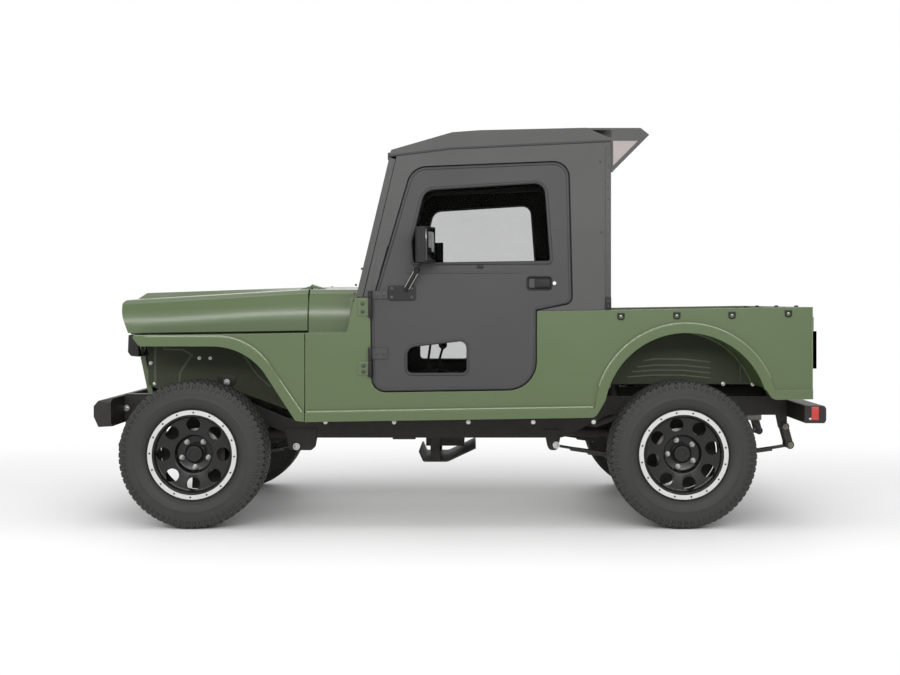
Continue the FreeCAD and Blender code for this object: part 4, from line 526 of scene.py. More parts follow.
# %% Outlines with rounded corners
def rounded(corners, steps=6):
    """Outline points of a polygon whose corners (a, b, radius) are rounded by short arcs."""
    points = []
    for i, corner in enumerate(corners):
        here = Vector(corner[:2])
        radius = corner[2] if len(corner) > 2 else 0.0
        if not radius:
            points.append(tuple(here))
            continue
        before = (Vector(corners[i - 1][:2]) - here).normalized()
        after = (Vector(corners[(i + 1) % len(corners)][:2]) - here).normalized()
        half = before.angle(after) / 2
        middle = here + (before + after).normalized() * (radius / math.sin(half))
        start = here + before * (radius / math.tan(half)) - middle
        end = here + after * (radius / math.tan(half)) - middle
        sweep = start.angle_signed(end)
        for k in range(steps + 1):
            points.append(tuple(middle + Matrix.Rotation(-sweep * k / steps, 2) @ start))
    return points


# %% Joining and copying
def joined(name, pieces):
    """One piece from several, named name."""
    select_only(*pieces)
    if len(pieces) > 1:
        bpy.ops.object.join()
    whole = bpy.context.active_object
    whole.name = whole.data.name = name
    return whole


def twin(piece):
    """Copy of the piece with a mesh of its own."""
    other = piece.copy()
    other.data = piece.data.copy()
    bpy.context.scene.collection.objects.link(other)
    return other


def copied(piece, places):
    """The piece copied to each place and joined into one; the first piece is used up."""
    name, copies = piece.name, []
    for place in places:
        copies.append(placed(twin(piece), place))
    bpy.data.objects.remove(piece)
    return joined(name, copies)


def moved(*offsets):
    """Places that only shift a copy."""
    return [Matrix.Translation(offset) for offset in offsets]


def around_axle(count, start=0.0):
    """Turns about the Y axis that spread count copies evenly."""
    return [Matrix.Rotation(start + math.tau * i / count, 4, "Y") for i in range(count)]


# %% Mirroring and cutting
def other_side(piece, name):
    """Mirror image of the piece on the car's right side, with its faces turned outwards again."""
    other = twin(piece)
    other.name = other.data.name = name
    select_only(other)
    bpy.ops.object.mode_set(mode="EDIT")
    bpy.ops.mesh.select_all(action="SELECT")
    bpy.ops.transform.mirror(constraint_axis=(False, True, False), center_override=(0, 0, 0))
    faces_out()
    return other


def cut_away(piece, cutter):
    """Takes the cutter's shape out of the piece."""
    modifier = piece.modifiers.new("cut", "BOOLEAN")
    modifier.operation, modifier.object, modifier.solver = "DIFFERENCE", cutter, "EXACT"
    apply_modifiers(piece)
    bpy.data.objects.remove(cutter)
    return piece


# %% Places on the car
AXLE_X = -1.309


def mark(behind, up, out=0.0):
    """Point from millimetres behind the front axle, above the ground, and out to the left side."""
    return (AXLE_X + behind / 1000, -out / 1000, up / 1000)


def along_side(corners, out, steps=6):
    """Points of an outline on the left side, its corners (behind, up, radius) rounded."""
    return [mark(behind, up, out) for behind, up in rounded(corners, steps)]


def on_both_sides(piece, body, material, smooth=35.0):
    """The finished left piece and its mirror image; body is one name, or a left and a right one."""
    bodies = (body, body) if isinstance(body, str) else body
    name = piece.name
    right = other_side(piece, name + "_right")
    piece.name = piece.data.name = name + "_left"
    finished(piece, bodies[0], material, smooth)
    finished(right, bodies[1], material, smooth)
    return piece, right


def trim(piece, body="chassis", smooth=35.0):
    """The piece on both sides in black plastic."""
    return on_both_sides(piece, body, trim_black, smooth)


DOORS = ("left_door", "right_door")

# %% [markdown]
# ## Tyres
# An all-terrain tyre is a turned carcass with rows of moulded blocks. The carcass is spun from its section,
# and one block of each row is shaped and copied round. Short bars wrap over each shoulder and make the fine
# teeth that show from the side. The sidewall is left smooth, with a low ridge over the rim.

# %% Rubber
def rubber(name):
    """Rubber with dust near the road and paler edges, partly scuffing and partly a painted highlight."""
    recipe = Recipe(name)
    tone = recipe.group(mottle, Color=(0.024, 0.024, 0.023, 1), Scale=9.0, Amount=0.25).outputs
    dusty = recipe.group(road_dust, Top=0.9, Amount=0.2).outputs["Mask"]
    # Paler edges: partly scuffed rubber, partly a painted highlight that lights the tread teeth.
    scuffs_and_highlight = recipe.group(rounded_edges, Width=0.003, Strength=1.1).outputs["Mask"]
    dusted = recipe.mixed(dusty, tone["Color"], (0.09, 0.086, 0.08, 1))
    grain = recipe.add("ShaderNodeTexNoise", {"Vector": recipe.place(), "Scale": 420.0, "Detail": 4.0})
    recipe.feed(recipe.shader, {
        "Base Color": recipe.mixed(scuffs_and_highlight, dusted, (0.11, 0.108, 0.104, 1)),
        "Roughness": recipe.ranged(tone["Value"], 0.48, 0.66),
        "Normal": recipe.bumped(grain.outputs["Fac"], 0.00025), "Specular IOR Level": 0.28})
    return recipe.material


tyre_rubber = rubber("tyre_rubber")

# %% Tyre carcass
FRONT_X, REAR_X = AXLE_X, 1.129
WHEEL_Y = 0.675
WHEEL_Z = 0.367
TYRE_RADIUS = 0.367
PITCHES = 68
GROOVE = 0.009
PITCH = math.tau * TYRE_RADIUS / PITCHES


def carcass():
    """Spun body of the tyre, down to the floor of its tread grooves."""
    floor_radius = TYRE_RADIUS - GROOVE
    half = [
        (0.083, 0.2045), (0.0848, 0.214), (0.0852, 0.226), (0.0945, 0.232), (0.1052, 0.2405),
        (0.1078, 0.2455), (0.1086, 0.2462), (0.1135, 0.262), (0.1160, 0.277), (0.1167, 0.2795),
        (0.1167, 0.2825), (0.1155, 0.285), (0.1155, 0.3), (0.1138, 0.314), (0.1105, 0.328), (0.105, 0.3415),
        (0.0985, 0.3505), (0.086, floor_radius - 0.002), (0.07, floor_radius - 0.0008),
        (0.035, floor_radius),
    ]
    inside = [(-0.07, 0.2045), (-0.1, 0.27), (-0.09, 0.335), (0.0, 0.345), (0.09, 0.335), (0.1, 0.27),
              (0.07, 0.2045)]
    profile = half + [(0.0, floor_radius)] + [(-along, radius) for along, radius in reversed(half)] + inside
    return lathe("tyre_carcass", profile, steps=136)


# %% [markdown]
# The tread has two rows of stepped blocks on each side of the middle groove. Each outline is about four
# fifths of a pitch long, so that a narrow groove stays between the blocks when they are copied round.

# %% Tread blocks
def tread_block(name, corners, drop=0.0, height=GROOVE + 0.003):
    """Block of the tread at the top of the tyre, from its outline of (round, along) points."""
    top = TYRE_RADIUS - drop
    piece = plate(name, [(x, y, top - height) for x, y in corners], (0, 0, height))
    narrowed(piece, lambda co: co.z > top - height / 2, (0.93, 0.95, 1), (0, corners[0][1] * 0.999, top))
    return bevelled(piece, 0.0009, 1, 50)


def centre_corners(side):
    """Outline of a stepped block beside the middle groove."""
    a, b = PITCH * 0.41, PITCH * 0.23
    return [(-a, side * 0.004), (b, side * 0.004), (a, side * 0.012), (a, side * 0.03), (-b, side * 0.034),
            (-a, side * 0.026)]


def outer_corners(side):
    """Outline of a stepped block between the middle blocks and the shoulder."""
    a, b = PITCH * 0.4, PITCH * 0.2
    return [(-b, side * 0.041), (a, side * 0.044), (a, side * 0.066), (b, side * 0.072), (-a, side * 0.07),
            (-a, side * 0.05)]


# %% [markdown]
# The outer edge of the tread bends down over the shoulder, and bars of two lengths take turns there. Both
# start as plain boxes whose outer or lower points are pushed into shape.

# %% Shoulder blocks and bars
def shoulder_block(side):
    """Last block of the tread, whose outer end bends down over the shoulder."""
    low = TYRE_RADIUS - 0.0165
    piece = block("shoulder_block", (0, side * 0.0905, TYRE_RADIUS - 0.009), (PITCH * 0.72, 0.024, 0.015))
    pushed(piece, lambda co: side * co.y > 0.0905 and co.z > low, (0, side * 0.001, -0.0045))
    pushed(piece, lambda co: side * co.y > 0.0905 and co.z <= low, (0, side * 0.005, -0.009))
    return bevelled(piece, 0.0012, 1, 50)


def shoulder_bar(side, length, width):
    """Tapered bar on the shoulder that runs down the sidewall."""
    top = TYRE_RADIUS - 0.0125
    piece = block("shoulder_bar", (0, side * 0.105, top - length / 2), (PITCH * width, 0.008, length))
    pushed(piece, lambda co: co.z < top - length / 2, (0, side * (0.007 if length > 0.025 else 0.004), 0))
    narrowed(piece, lambda co: co.z < top - length / 2, (0.75, 1, 1), (0, 0, 0))
    return bevelled(piece, 0.0011, 1, 50)


# %% Whole tyre
def tyre_piece():
    """The whole tyre; the rows of its two halves stand half a pitch apart."""
    pieces = [carcass()]
    even, odd = around_axle(PITCHES), around_axle(PITCHES, 0.5 * math.tau / PITCHES)
    for side in (-1, 1):
        first, second = (even, odd) if side > 0 else (odd, even)
        pieces.append(copied(tread_block("tread_centre", centre_corners(side)), first))
        pieces.append(copied(tread_block("tread_outer", outer_corners(side), 0.001), second))
        pieces.append(copied(shoulder_block(side), first))
        pieces.append(copied(shoulder_bar(side, 0.036, 0.4), first))
        pieces.append(copied(shoulder_bar(side, 0.02, 0.3), second))
    whole = joined("tyre", pieces)
    select_only(whole)
    bpy.ops.object.mode_set(mode="EDIT")
    faces_out()
    return whole


# %% Placing pieces at the four wheels
REAR_TURN = math.radians(57)
CORNERS = [(end, name, side) for end in ("front", "rear") for name, side in (("left", -1), ("right", 1))]


def to_corner(end, side):
    """Place of a wheel piece that was made at the origin and faces +Y; the rear wheels stand turned on."""
    half_turn = Matrix.Rotation(math.pi if side < 0 else 0.0, 4, "Z")
    rolled = Matrix.Rotation(-side * REAR_TURN if end == "rear" else 0.0, 4, "Y")
    middle = Matrix.Translation((FRONT_X if end == "front" else REAR_X, side * WHEEL_Y, WHEEL_Z))
    return middle @ half_turn @ rolled


def at_corners(piece, name, material, replaced=None, smooth=35.0):
    """One finished copy of the piece at each wheel."""
    for end, side_name, side in CORNERS:
        other = twin(piece)
        other.name = other.data.name = "%s_%s_%s" % (name, end, side_name)
        other.matrix_world = to_corner(end, side)
        finished(other, "%s_%s_wheel" % (end, side_name), material, smooth)
        if replaced:
            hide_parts("%s_%s_%s" % (replaced, end, side_name))
    bpy.data.objects.remove(piece)


tyre = tyre_piece()
print("tyre faces:", len(tyre.data.polygons))
at_corners(tyre, "tread_tyre", tyre_rubber, replaced="tyre")

# %% [markdown]
# ## Wheels
# Each wheel is a black dish with eight round ports, a bright ring held by sixteen small screws, a recessed
# hub with five nuts and a cap. The dish is spun, the ports are cut, and every edge is rounded so that it
# draws the thin highlights of gloss paint.

# %% Wheel finishes
# Painted highlight: the gloss black is painted lighter along its edges.
gloss_black = coated("gloss_black", (0.005, 0.005, 0.005), 0.26, 60, 0.00004, coat=0.1, dust=0.04,
                     edge_width=0.0012, edge_highlight_tone=2.0, edge_strength=0.5, specular=0.3)
machined = coated("machined_ring", (0.55, 0.55, 0.54), 0.3, 1200, 0.00003, metallic=0.35, edge_width=0.0006)
bright_steel = coated("bright_steel", (0.33, 0.32, 0.3), 0.34, 900, 0.00004, metallic=0.8,
                      edge_width=0.0006)
disc_iron = coated("disc_iron", (0.25, 0.24, 0.23), 0.42, 300, 0.00008, metallic=0.8, dust=0.2)

# %% Wheel
PORTS, RING_SCREWS, NUTS = 8, 16, 5
PORT_CIRCLE = 0.149
PORT_RADIUS = 0.0335
HUB_FLOOR = 0.017


def dish_profile():
    """Section of the dish: outer lip, deep well with the ported face, hub recess, barrel and inner lip."""
    outside = [
        (0.0895, 0.2225), (0.0935, 0.2225), (0.0935, 0.1965), (0.0955, 0.1955), (0.0955, 0.191),
        (0.092, 0.188), (0.078, 0.187), (0.07, 0.1855), (0.066, 0.182), (0.0645, 0.176), (0.058, 0.1),
        (0.056, 0.0955), (0.052, 0.0925), (0.026, 0.0895), (0.02, 0.0875), (HUB_FLOOR, 0.083),
        (HUB_FLOOR, 0.0201),
    ]
    inside = [
        (0.008, 0.0201), (0.008, 0.094), (0.036, 0.1), (0.044, 0.11), (0.053, 0.17), (0.054, 0.1965),
        (-0.03, 0.1965), (-0.083, 0.1975), (-0.091, 0.206), (-0.0935, 0.2195), (-0.0925, 0.2225),
        (-0.0895, 0.2225), (-0.0865, 0.2195), (-0.085, 0.2036), (0.085, 0.2036), (0.0865, 0.2195),
    ]
    return outside + inside


def ports():
    """Cutter for the round ports."""
    cutter = drum("port", (PORT_CIRCLE, 0.0, 0), (PORT_CIRCLE, 0.12, 0), PORT_RADIUS, sides=40)
    return copied(cutter, around_axle(PORTS))


dish = cut_away(lathe("dish", dish_profile(), steps=128), ports())
bevelled(dish, 0.0013, 3, 40)
at_corners(dish, "wheel_dish", gloss_black, replaced="wheel")

ring = lathe("ring", [
    (0.0936, 0.199), (0.0948, 0.199), (0.0955, 0.1998), (0.0955, 0.2208), (0.0948, 0.2216), (0.0936, 0.2216)],
    steps=128)
at_corners(ring, "bright_ring", machined)

screw = drum("screw", (0.2103, 0.0945, 0), (0.2103, 0.0972, 0), 0.0046, sides=12, bevel=0.0008, segments=1)
screws = copied(screw, around_axle(RING_SCREWS, math.radians(-2)))
at_corners(screws, "ring_screws", trim_black)

# %% Nuts, cap and brake disc
NUT_CIRCLE = 0.0699
NUT_START = math.radians(18)


def wheel_nuts():
    """Ring of nuts, each with a flange and a rounded tip."""
    nut = drum("nut", (NUT_CIRCLE, HUB_FLOOR, 0), (NUT_CIRCLE, HUB_FLOOR + 0.024, 0), 0.0112, sides=6)
    bevelled(nut, 0.0015, 2, 20)
    tip = drum("nut_tip", (NUT_CIRCLE, HUB_FLOOR + 0.02, 0), (NUT_CIRCLE, HUB_FLOOR + 0.031, 0), 0.0078,
               sides=20, bevel=0.0036, segments=4)
    foot = drum("nut_foot", (NUT_CIRCLE, HUB_FLOOR, 0), (NUT_CIRCLE, HUB_FLOOR + 0.006, 0), 0.0138,
                bevel=0.002)
    return copied(joined("nuts", [nut, tip, foot]), around_axle(NUTS, NUT_START))


at_corners(wheel_nuts(), "wheel_nuts", bright_steel)

cap = lathe("cap", [(HUB_FLOOR, 0.0), (HUB_FLOOR, 0.05), (0.0215, 0.05), (0.0225, 0.049), (0.0235, 0.0465),
                    (0.042, 0.0405), (0.0445, 0.0385), (0.0455, 0.033), (0.046, 0.0225), (0.044, 0.0215),
                    (0.044, 0.0)], steps=64)
at_corners(cap, "hub_cap", gloss_black)
cap_screw = drum("cap_screw", (0, 0.043, 0), (0, 0.0475, 0), 0.0075, bevel=0.0015)
at_corners(cap_screw, "cap_screw", gloss_black)

disc = lathe("disc", [
    (-0.043, 0.05), (-0.043, 0.1205), (-0.0425, 0.1215), (-0.0365, 0.1215), (-0.0365, 0.105),
    (-0.0315, 0.105), (-0.0315, 0.1215), (-0.0255, 0.1215), (-0.025, 0.1205), (-0.025, 0.072),
    (0.0075, 0.066), (0.0075, 0.021), (-0.01, 0.021), (-0.025, 0.05)], steps=96)
at_corners(disc, "brake_disc", disc_iron)

valve = piped("valve", [(0.172, 0.058, 0.012), (0.176, 0.07, 0.012), (0.181, 0.084, 0.012)], 0.0035)
at_corners(valve, "tyre_valve", trim_black)
print("wheel pieces made")

# %% [markdown]
# ## Seats
# Two bucket seats in black vinyl, each a steel box with a sewn cushion and back. A pad starts as a soft
# block whose seams are held while the cover is blown up a little, as foam does, so that it swells between the
# seams. The piping is sewn on afterwards.

# %% Vinyl
def vinyl(name, colour):
    """Upholstery with a pebbled grain."""
    recipe = Recipe(name)
    tone = recipe.group(mottle, Color=(*colour, 1), Scale=14.0, Amount=0.3).outputs
    grain = recipe.add("ShaderNodeTexVoronoi", {"Vector": recipe.place(), "Scale": 420.0},
                       feature="DISTANCE_TO_EDGE")
    recipe.feed(recipe.shader, {
        "Base Color": tone["Color"], "Roughness": recipe.ranged(tone["Value"], 0.42, 0.6),
        "Normal": recipe.bumped(grain.outputs["Distance"], 0.0006, 0.7)})
    return recipe.material


seat_cover = vinyl("seat_cover", (0.03, 0.03, 0.031))
seat_piping = vinyl("seat_piping", (0.014, 0.014, 0.014))


# %% Blowing up a cover
def station(behind):
    """Place along the car of a point that lies this far behind the front axle."""
    return FRONT_X + behind


def swollen(piece, held, pressure, frames=14):
    """Blows the piece's cover up between the points for which held is true, and keeps the result."""
    pick(piece, "points", held)
    bpy.ops.object.vertex_group_assign_new()
    object_mode()
    before = [v.co.copy() for v in piece.data.vertices]
    cloth = piece.modifiers.new("cover", "CLOTH")
    cloth.settings.use_pressure = True
    cloth.settings.uniform_pressure_force = pressure
    cloth.settings.vertex_group_mass = piece.vertex_groups[-1].name
    cloth.settings.effector_weights.gravity = 0
    cloth.point_cache.frame_start, cloth.point_cache.frame_end = 1, frames
    for step in range(1, frames + 1):
        bpy.context.scene.frame_set(step)
    apply_modifiers(piece)
    bpy.context.scene.frame_set(1)
    moves = [(v.co - start).length for v, start in zip(piece.data.vertices, before)]
    print(piece.name, "swelled by at most", round(max(moves), 4))
    return piece


# %% [markdown]
# A voxel remesh gives the cover an even weave, so that it stretches the same way everywhere. The seams are
# pressed in first and held, together with the underside.

# %% Sewn pad and its piping
def pad(name, size, seams, corner):
    """Sewn pad that lies flat at the origin, with seams across its top at these places."""
    piece = block(name, (0, 0, 0), size, corner, 4)
    remesh = piece.modifiers.new("weave", "REMESH")
    remesh.mode, remesh.voxel_size = "VOXEL", 0.009
    apply_modifiers(piece)
    top = size[2] / 2

    def held(co):
        return co.z < 0 or abs(co.z) < 0.006 or min(abs(co.y - seam) for seam in seams) < 0.0065

    for seam in seams:
        pushed(piece, lambda co: co.z > top - 0.02 and abs(co.y - seam) < 0.0065, (0, 0, -0.006))
    swollen(piece, held, 6.0)
    smooth = piece.modifiers.new("smooth", "SMOOTH")
    smooth.factor, smooth.iterations = 0.5, 3
    finer = piece.modifiers.new("finer", "SUBSURF")
    finer.levels = finer.render_levels = 1
    apply_modifiers(piece)
    return piece


def piping(size, corner, seams):
    """Bead round the edge of a pad's top, and the beads down its seams."""
    half_x, half_y = size[0] / 2 - 0.004, size[1] / 2 - 0.004
    edge = rounded([(-half_x, -half_y, corner), (half_x, -half_y, corner), (half_x, half_y, corner),
                    (-half_x, half_y, corner)], 4)
    level = size[2] / 2 - corner * 0.8
    beads = [piped("piping", [(x, y, level) for x, y in edge], 0.0038, closed=True)]
    for seam in seams:
        beads.append(piped("seam", [(-half_x + corner, seam, size[2] / 2 - 0.0075),
                                    (half_x - corner, seam, size[2] / 2 - 0.0075)], 0.0024))
    return joined("beads", beads)


# %% Seats
SEAT_Y = 0.42
SEAT_WIDTH = 0.475
CUSHION = (0.455, SEAT_WIDTH - 0.01, 0.112)
BACK = (0.6, SEAT_WIDTH - 0.02, 0.086)
SEAMS = (-0.15, -0.05, 0.05, 0.15)
CORNER = 0.026
PADS = [("seat_cushion", CUSHION, (station(1.606), -SEAT_Y, 0.807), -2.4),
        ("seat_back", BACK, (station(1.891), -SEAT_Y, 1.094), -82)]
for part_name, size, middle, lean in PADS:
    place = Matrix.Translation(middle) @ Matrix.Rotation(math.radians(lean), 4, "Y")
    foam = placed(pad(part_name, size, SEAMS, CORNER), place)
    beads = placed(piping(size, CORNER, SEAMS), place)
    beads.name = part_name + "_piping"
    for cushion in on_both_sides(foam, "chassis", seat_cover, 60):
        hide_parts("seats")
    on_both_sides(beads, "chassis", seat_piping, 60)

seat_box = block("seat_box", (station(1.6), -SEAT_Y, 0.66), (0.4, 0.4, 0.155), 0.006)
SHELL = [(1870, 800), (1905, 800), (1972, 1340), (1955, 1360)]
shell = plate("seat_shell", along_side(SHELL, SEAT_Y * 1000 + 200), (0, 0.4, 0), 0.008)
for part in (seat_box, shell):
    on_both_sides(part, "chassis", chassis_black)
print("seats made")

# %% [markdown]
# ## Pressed and welded panels
# The solids arrive as flat facets, so a rolled bonnet or a bent pipe would show stripes of light. A copy of
# each solid is merged and smoothed, and its normals are weighted by area, which keeps the large faces flat
# right up to their rounded edges. The copy takes the solid's place.

# %% Smooth copies of the solids
OWN_SHAPES = ("tyre", "wheel_f", "wheel_re", "seats", "headlamps", "glazing", "door_glass", "lamp_shrouds")
body_of = {}
for body, carried in frame["record"]["behaviour"]["bodies"].items():
    for node in carried:
        body_of[node] = body


def smoothed(node, body, material, angle=28.0):
    """Merged and smoothed copy of a CAD solid, which it replaces."""
    panel = bpy.data.objects.new(node + "_panel", nodes[node].data.copy())
    bpy.context.scene.collection.objects.link(panel)
    select_only(panel)
    bpy.ops.object.mode_set(mode="EDIT")
    bpy.ops.mesh.select_all(action="SELECT")
    bpy.ops.mesh.remove_doubles(threshold=0.00001)
    bpy.ops.mesh.dissolve_limited(angle_limit=math.radians(0.5))
    object_mode()
    bpy.ops.mesh.customdata_custom_splitnormals_clear()
    finished(panel, body, material, angle)
    weights = panel.modifiers.new("weights", "WEIGHTED_NORMAL")
    weights.keep_sharp = True
    apply_modifiers(panel)
    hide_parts(node)
    return panel


panels = {}
for entry in frame["record"]["subparts"]:
    node, slot = entry["node"], entry["material_slot"]
    if not node.startswith(OWN_SHAPES):
        panels[node] = smoothed(node, body_of[node], FINISHES[slot])
print("smoothed panels:", len(panels))

# %% [markdown]
# ## Clean light on the bonnet's rolled sides
# The solid's mesh crosses the long roll with uneven triangles, and a band of light on it wavers. A clean
# form is drawn as two profiles and bridged, and its normals are handed to the bonnet where the two lie
# together. The form itself is then deleted, so the bonnet keeps its own shape.

# %% Rolled sides
HOOD_FRONT, HOOD_REAR = -1.712, -0.757
HOOD_HALF, HOOD_TAPER, HOOD_FLARE = 0.622, 0.02, 0.036
HOOD_LOW, LOW_RISE = 0.972, 0.015
CREASE_UP, CREASE_RISE = 1.155, 0.059
ROLL_SHARE, ROLL_RADIUS = 0.55, 0.236


def hood_lines(x):
    """Half width of the bonnet at x, and the heights of its lower edge and of its crease."""
    half = HOOD_HALF - HOOD_TAPER * (HOOD_REAR - x)
    return half, HOOD_LOW + LOW_RISE * (x - AXLE_X), CREASE_UP + CREASE_RISE * (x - AXLE_X)


def roll_profile(x, steps=16):
    """Cross profile of the bonnet's rolled side at x, from its lower edge to just under the crease."""
    half, low, crease = hood_lines(x)
    roll = crease - ROLL_SHARE * (crease - low)
    side = [(-half, low), (-half, roll, ROLL_RADIUS), (-half + HOOD_FLARE, crease - 0.018)]
    return [(x, a, b) for a, b in rounded(side, steps)]


# %% Clean form
def rolled_form(side):
    """Bridged sheet between the front and the rear profile; side is -1 on the left and 1 on the right."""
    ends = []
    for x in (HOOD_FRONT, HOOD_REAR):
        ends.append(drawn("profile", [(x, -side * y, z) for x, y, z in roll_profile(x)]))
        object_mode()
    form = joined("rolled_form", ends)
    bpy.ops.object.mode_set(mode="EDIT")
    bpy.ops.mesh.select_all(action="SELECT")
    bpy.ops.mesh.bridge_edge_loops(number_cuts=12)
    faces_out()
    bpy.ops.object.shade_smooth()
    if form.data.polygons[0].normal.y * side < 0:
        bpy.ops.object.mode_set(mode="EDIT")
        bpy.ops.mesh.flip_normals()
        object_mode()
    return form


# %% Handing over the normals
def on_roll(co, side):
    """Whether a point lies on the rolled side, away from its borders."""
    half, low, crease = hood_lines(co.x)
    return (HOOD_FRONT + 0.007 < co.x < HOOD_REAR + 0.0005 and low - 0.002 < co.z < crease - 0.024
            and half - 0.034 < side * co.y < half + 0.002)


def clean_light(panel, side):
    """Takes the normals of the clean form on the panel's rolled side."""
    form = rolled_form(side)
    select_only(panel)
    group = panel.vertex_groups.new(name="roll")
    group.add([v.index for v in panel.data.vertices if on_roll(v.co, side)], 1.0, "REPLACE")
    transfer = panel.modifiers.new("clean_light", "DATA_TRANSFER")
    transfer.object = form
    transfer.use_loop_data = True
    transfer.data_types_loops = {"CUSTOM_NORMAL"}
    transfer.loop_mapping = "POLYINTERP_NEAREST"
    transfer.vertex_group = "roll"
    transfer.use_max_distance = True
    transfer.max_distance = 0.004
    apply_modifiers(panel)
    panel.vertex_groups.remove(panel.vertex_groups["roll"])
    bpy.data.objects.remove(form)


for side in (-1, 1):
    clean_light(panels["hood"], side)
print("clean light on the bonnet")

# %% [markdown]
# ## Headlamps and grille
# Each headlamp is a polished bowl behind a clear domed lens, held by a black rim in its moulded housing.
# The bowl and lens are turned pieces. Behind the slots of the grille hangs a fine mesh of woven wire, made
# from straight wires that are copied across.

# %% Headlamps
chrome = coated("chrome", (0.8, 0.8, 0.8), 0.12, 300, 0.00001, metallic=1.0, mottle_amount=0.04)
LAMP_OUT, LAMP_UP, LAMP_FACE = 508, 903, -365


def facing_front(piece, behind, up, out):
    """Stands a piece that was turned round the Y axis, facing -Y, so that it faces the front of the car."""
    return placed(piece, Matrix.Translation(mark(behind, up, out)) @ Matrix.Rotation(-math.pi / 2, 4, "Z"))


def at_headlamps(piece, material):
    """The turned piece in both headlamps."""
    return on_both_sides(facing_front(piece, LAMP_FACE, LAMP_UP, LAMP_OUT), "chassis", material)


bowl = lathe("lamp_bowl", [(-0.003, 0.049), (0.012, 0.0465), (0.03, 0.038), (0.046, 0.024), (0.052, 0.012),
                           (0.053, 0.0), (0.056, 0.0), (0.0565, 0.012), (0.055, 0.03), (0.055, 0.0505),
                           (-0.003, 0.0505)], steps=64)
bowls = at_headlamps(bowl, chrome)
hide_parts("headlamps")
lens = lathe("lamp_lens", [
    (-0.0055, 0.0), (-0.0052, 0.02), (-0.0042, 0.036), (-0.0025, 0.046), (-0.001, 0.048),
    (0.001, 0.048), (-0.0008, 0.045), (-0.002, 0.036), (-0.003, 0.02), (-0.0032, 0.0)], steps=64)
at_headlamps(lens, clear_lens)
bulb = lathe("lamp_bulb", [(0.012, 0.0), (0.012, 0.006), (0.016, 0.0105), (0.026, 0.0105), (0.03, 0.007),
                           (0.05, 0.007), (0.05, 0.0)], steps=24)
at_headlamps(bulb, chrome)
rim = lathe("lamp_rim", [(-0.0055, 0.0475), (-0.006, 0.05), (-0.0045, 0.0535), (0.0, 0.0545), (0.0, 0.0475)],
            steps=64)
at_headlamps(rim, trim_black)

shroud = smoothed("lamp_shrouds", "chassis", trim_black, 25)
bevelled(shroud, 0.003, 2, 40)

# %% Grille mesh
MESH_PITCH = 0.0135
UPRIGHT_WIRES, LEVEL_WIRES = 55, 24


def grille_mesh():
    """Woven wires behind the grille: uprights that follow its slope, and level ones."""
    upright = piped("wire", [mark(-300, 702, 0), mark(-322, 829, 0), mark(-333, 1018, 0)], 0.0011,
                    resolution=1)
    uprights = copied(upright, moved(*[(0, -0.366 + i * MESH_PITCH, 0) for i in range(UPRIGHT_WIRES)]))
    level = piped("wire", [(0, 0.368, 0), (0, -0.368, 0)], 0.0011, resolution=1)
    rises = [706 + MESH_PITCH * 1000 * i for i in range(LEVEL_WIRES)]
    levels = copied(level, [Matrix.Translation(mark(-300 - (up - 702) * 0.13, up)) for up in rises])
    return joined("grille_mesh", [uprights, levels])


finished(grille_mesh(), "chassis", trim_black)
print("headlamps and grille made")

# %% [markdown]
# ## Front and wing fasteners
# Small hardware is what makes the front end look built: bolts with a domed head on the inner wings and at the
# rear arches, and one on the bumper's bracket. One bolt of each kind is modelled and copied.

# %% Bolts
zinc = coated("zinc_plate", (0.55, 0.55, 0.53), 0.34, 600, 0.00004, metallic=0.85, edge_width=0.0006)
painted_bolt = coated("painted_bolt", (0.03, 0.035, 0.028), 0.4, 600, 0.00004, edge_width=0.0006)


def side_bolt(name, radius, height, washer=0.0):
    """Low domed bolt head at the origin that faces the left side."""
    profile = [(0.0, 0.0), (0.0, radius)]
    if washer:
        profile = [(0.0, 0.0), (0.0, washer), (-0.0016, washer), (-0.0018, radius)]
    profile += [(-height * 0.55, radius), (-height * 0.85, radius * 0.8), (-height, radius * 0.5),
                (-height, radius * 0.42), (-height * 0.6, radius * 0.4), (-height * 0.6, 0.0)]
    return lathe(name, profile, steps=18)


def side_bolts(name, places, radius, height, body, material, washer=0.0):
    """Bolt heads at (behind, up, out) on the left side, and their mirror images on the right."""
    heads = copied(side_bolt(name, radius, height, washer), [Matrix.Translation(mark(*p)) for p in places])
    return on_both_sides(heads, body, material)


side_bolts("inner_wing_bolt", [(-33, 832, 451), (24, 832, 451), (-286, 806, 451), (-266, 700, 451)],
           0.0065, 0.005, "chassis", zinc, 0.009)
side_bolts("rear_arch_bolt", [(2685, 702, 507), (2838, 699, 507)], 0.007, 0.006, "chassis", zinc, 0.01)
side_bolts("bumper_bracket_bolt", [(-426, 568, 404)], 0.011, 0.009, "chassis", zinc, 0.0165)
print("front bolts made")

# %% [markdown]
# ## Rubber seals
# Each window pane is held by a moulded rubber, and the door closes on a thick black weatherstrip that shows
# as a dark line in the gap. A seal is a wire drawn round the opening and given a round section.

# %% Window and door seals
seal_rubber = coated("seal_rubber", (0.011, 0.011, 0.011), 0.5, 500, 0.0001, mottle_amount=0.1)
SKIN = 760


def sealed(piece, body="chassis"):
    """The bead on both sides in seal rubber."""
    return on_both_sides(piece, body, seal_rubber, 50)


WINDOW = [(1091, 1312, 16), (1083, 1424, 60), (1146, 1686, 70), (1754, 1724, 60), (1784, 1322, 16)]
KICK_WINDOW = [(1060, 766, 30), (1060, 905, 50), (1368, 942, 40), (1368, 766, 30)]
DOOR_EDGE = [(888, 1140), (894, 681, 66), (1705, 693, 140), (1705, 1086, 3), (1883, 1122, 36),
             (1866, 1822, 76), (1092, 1791, 96), (910, 1170)]

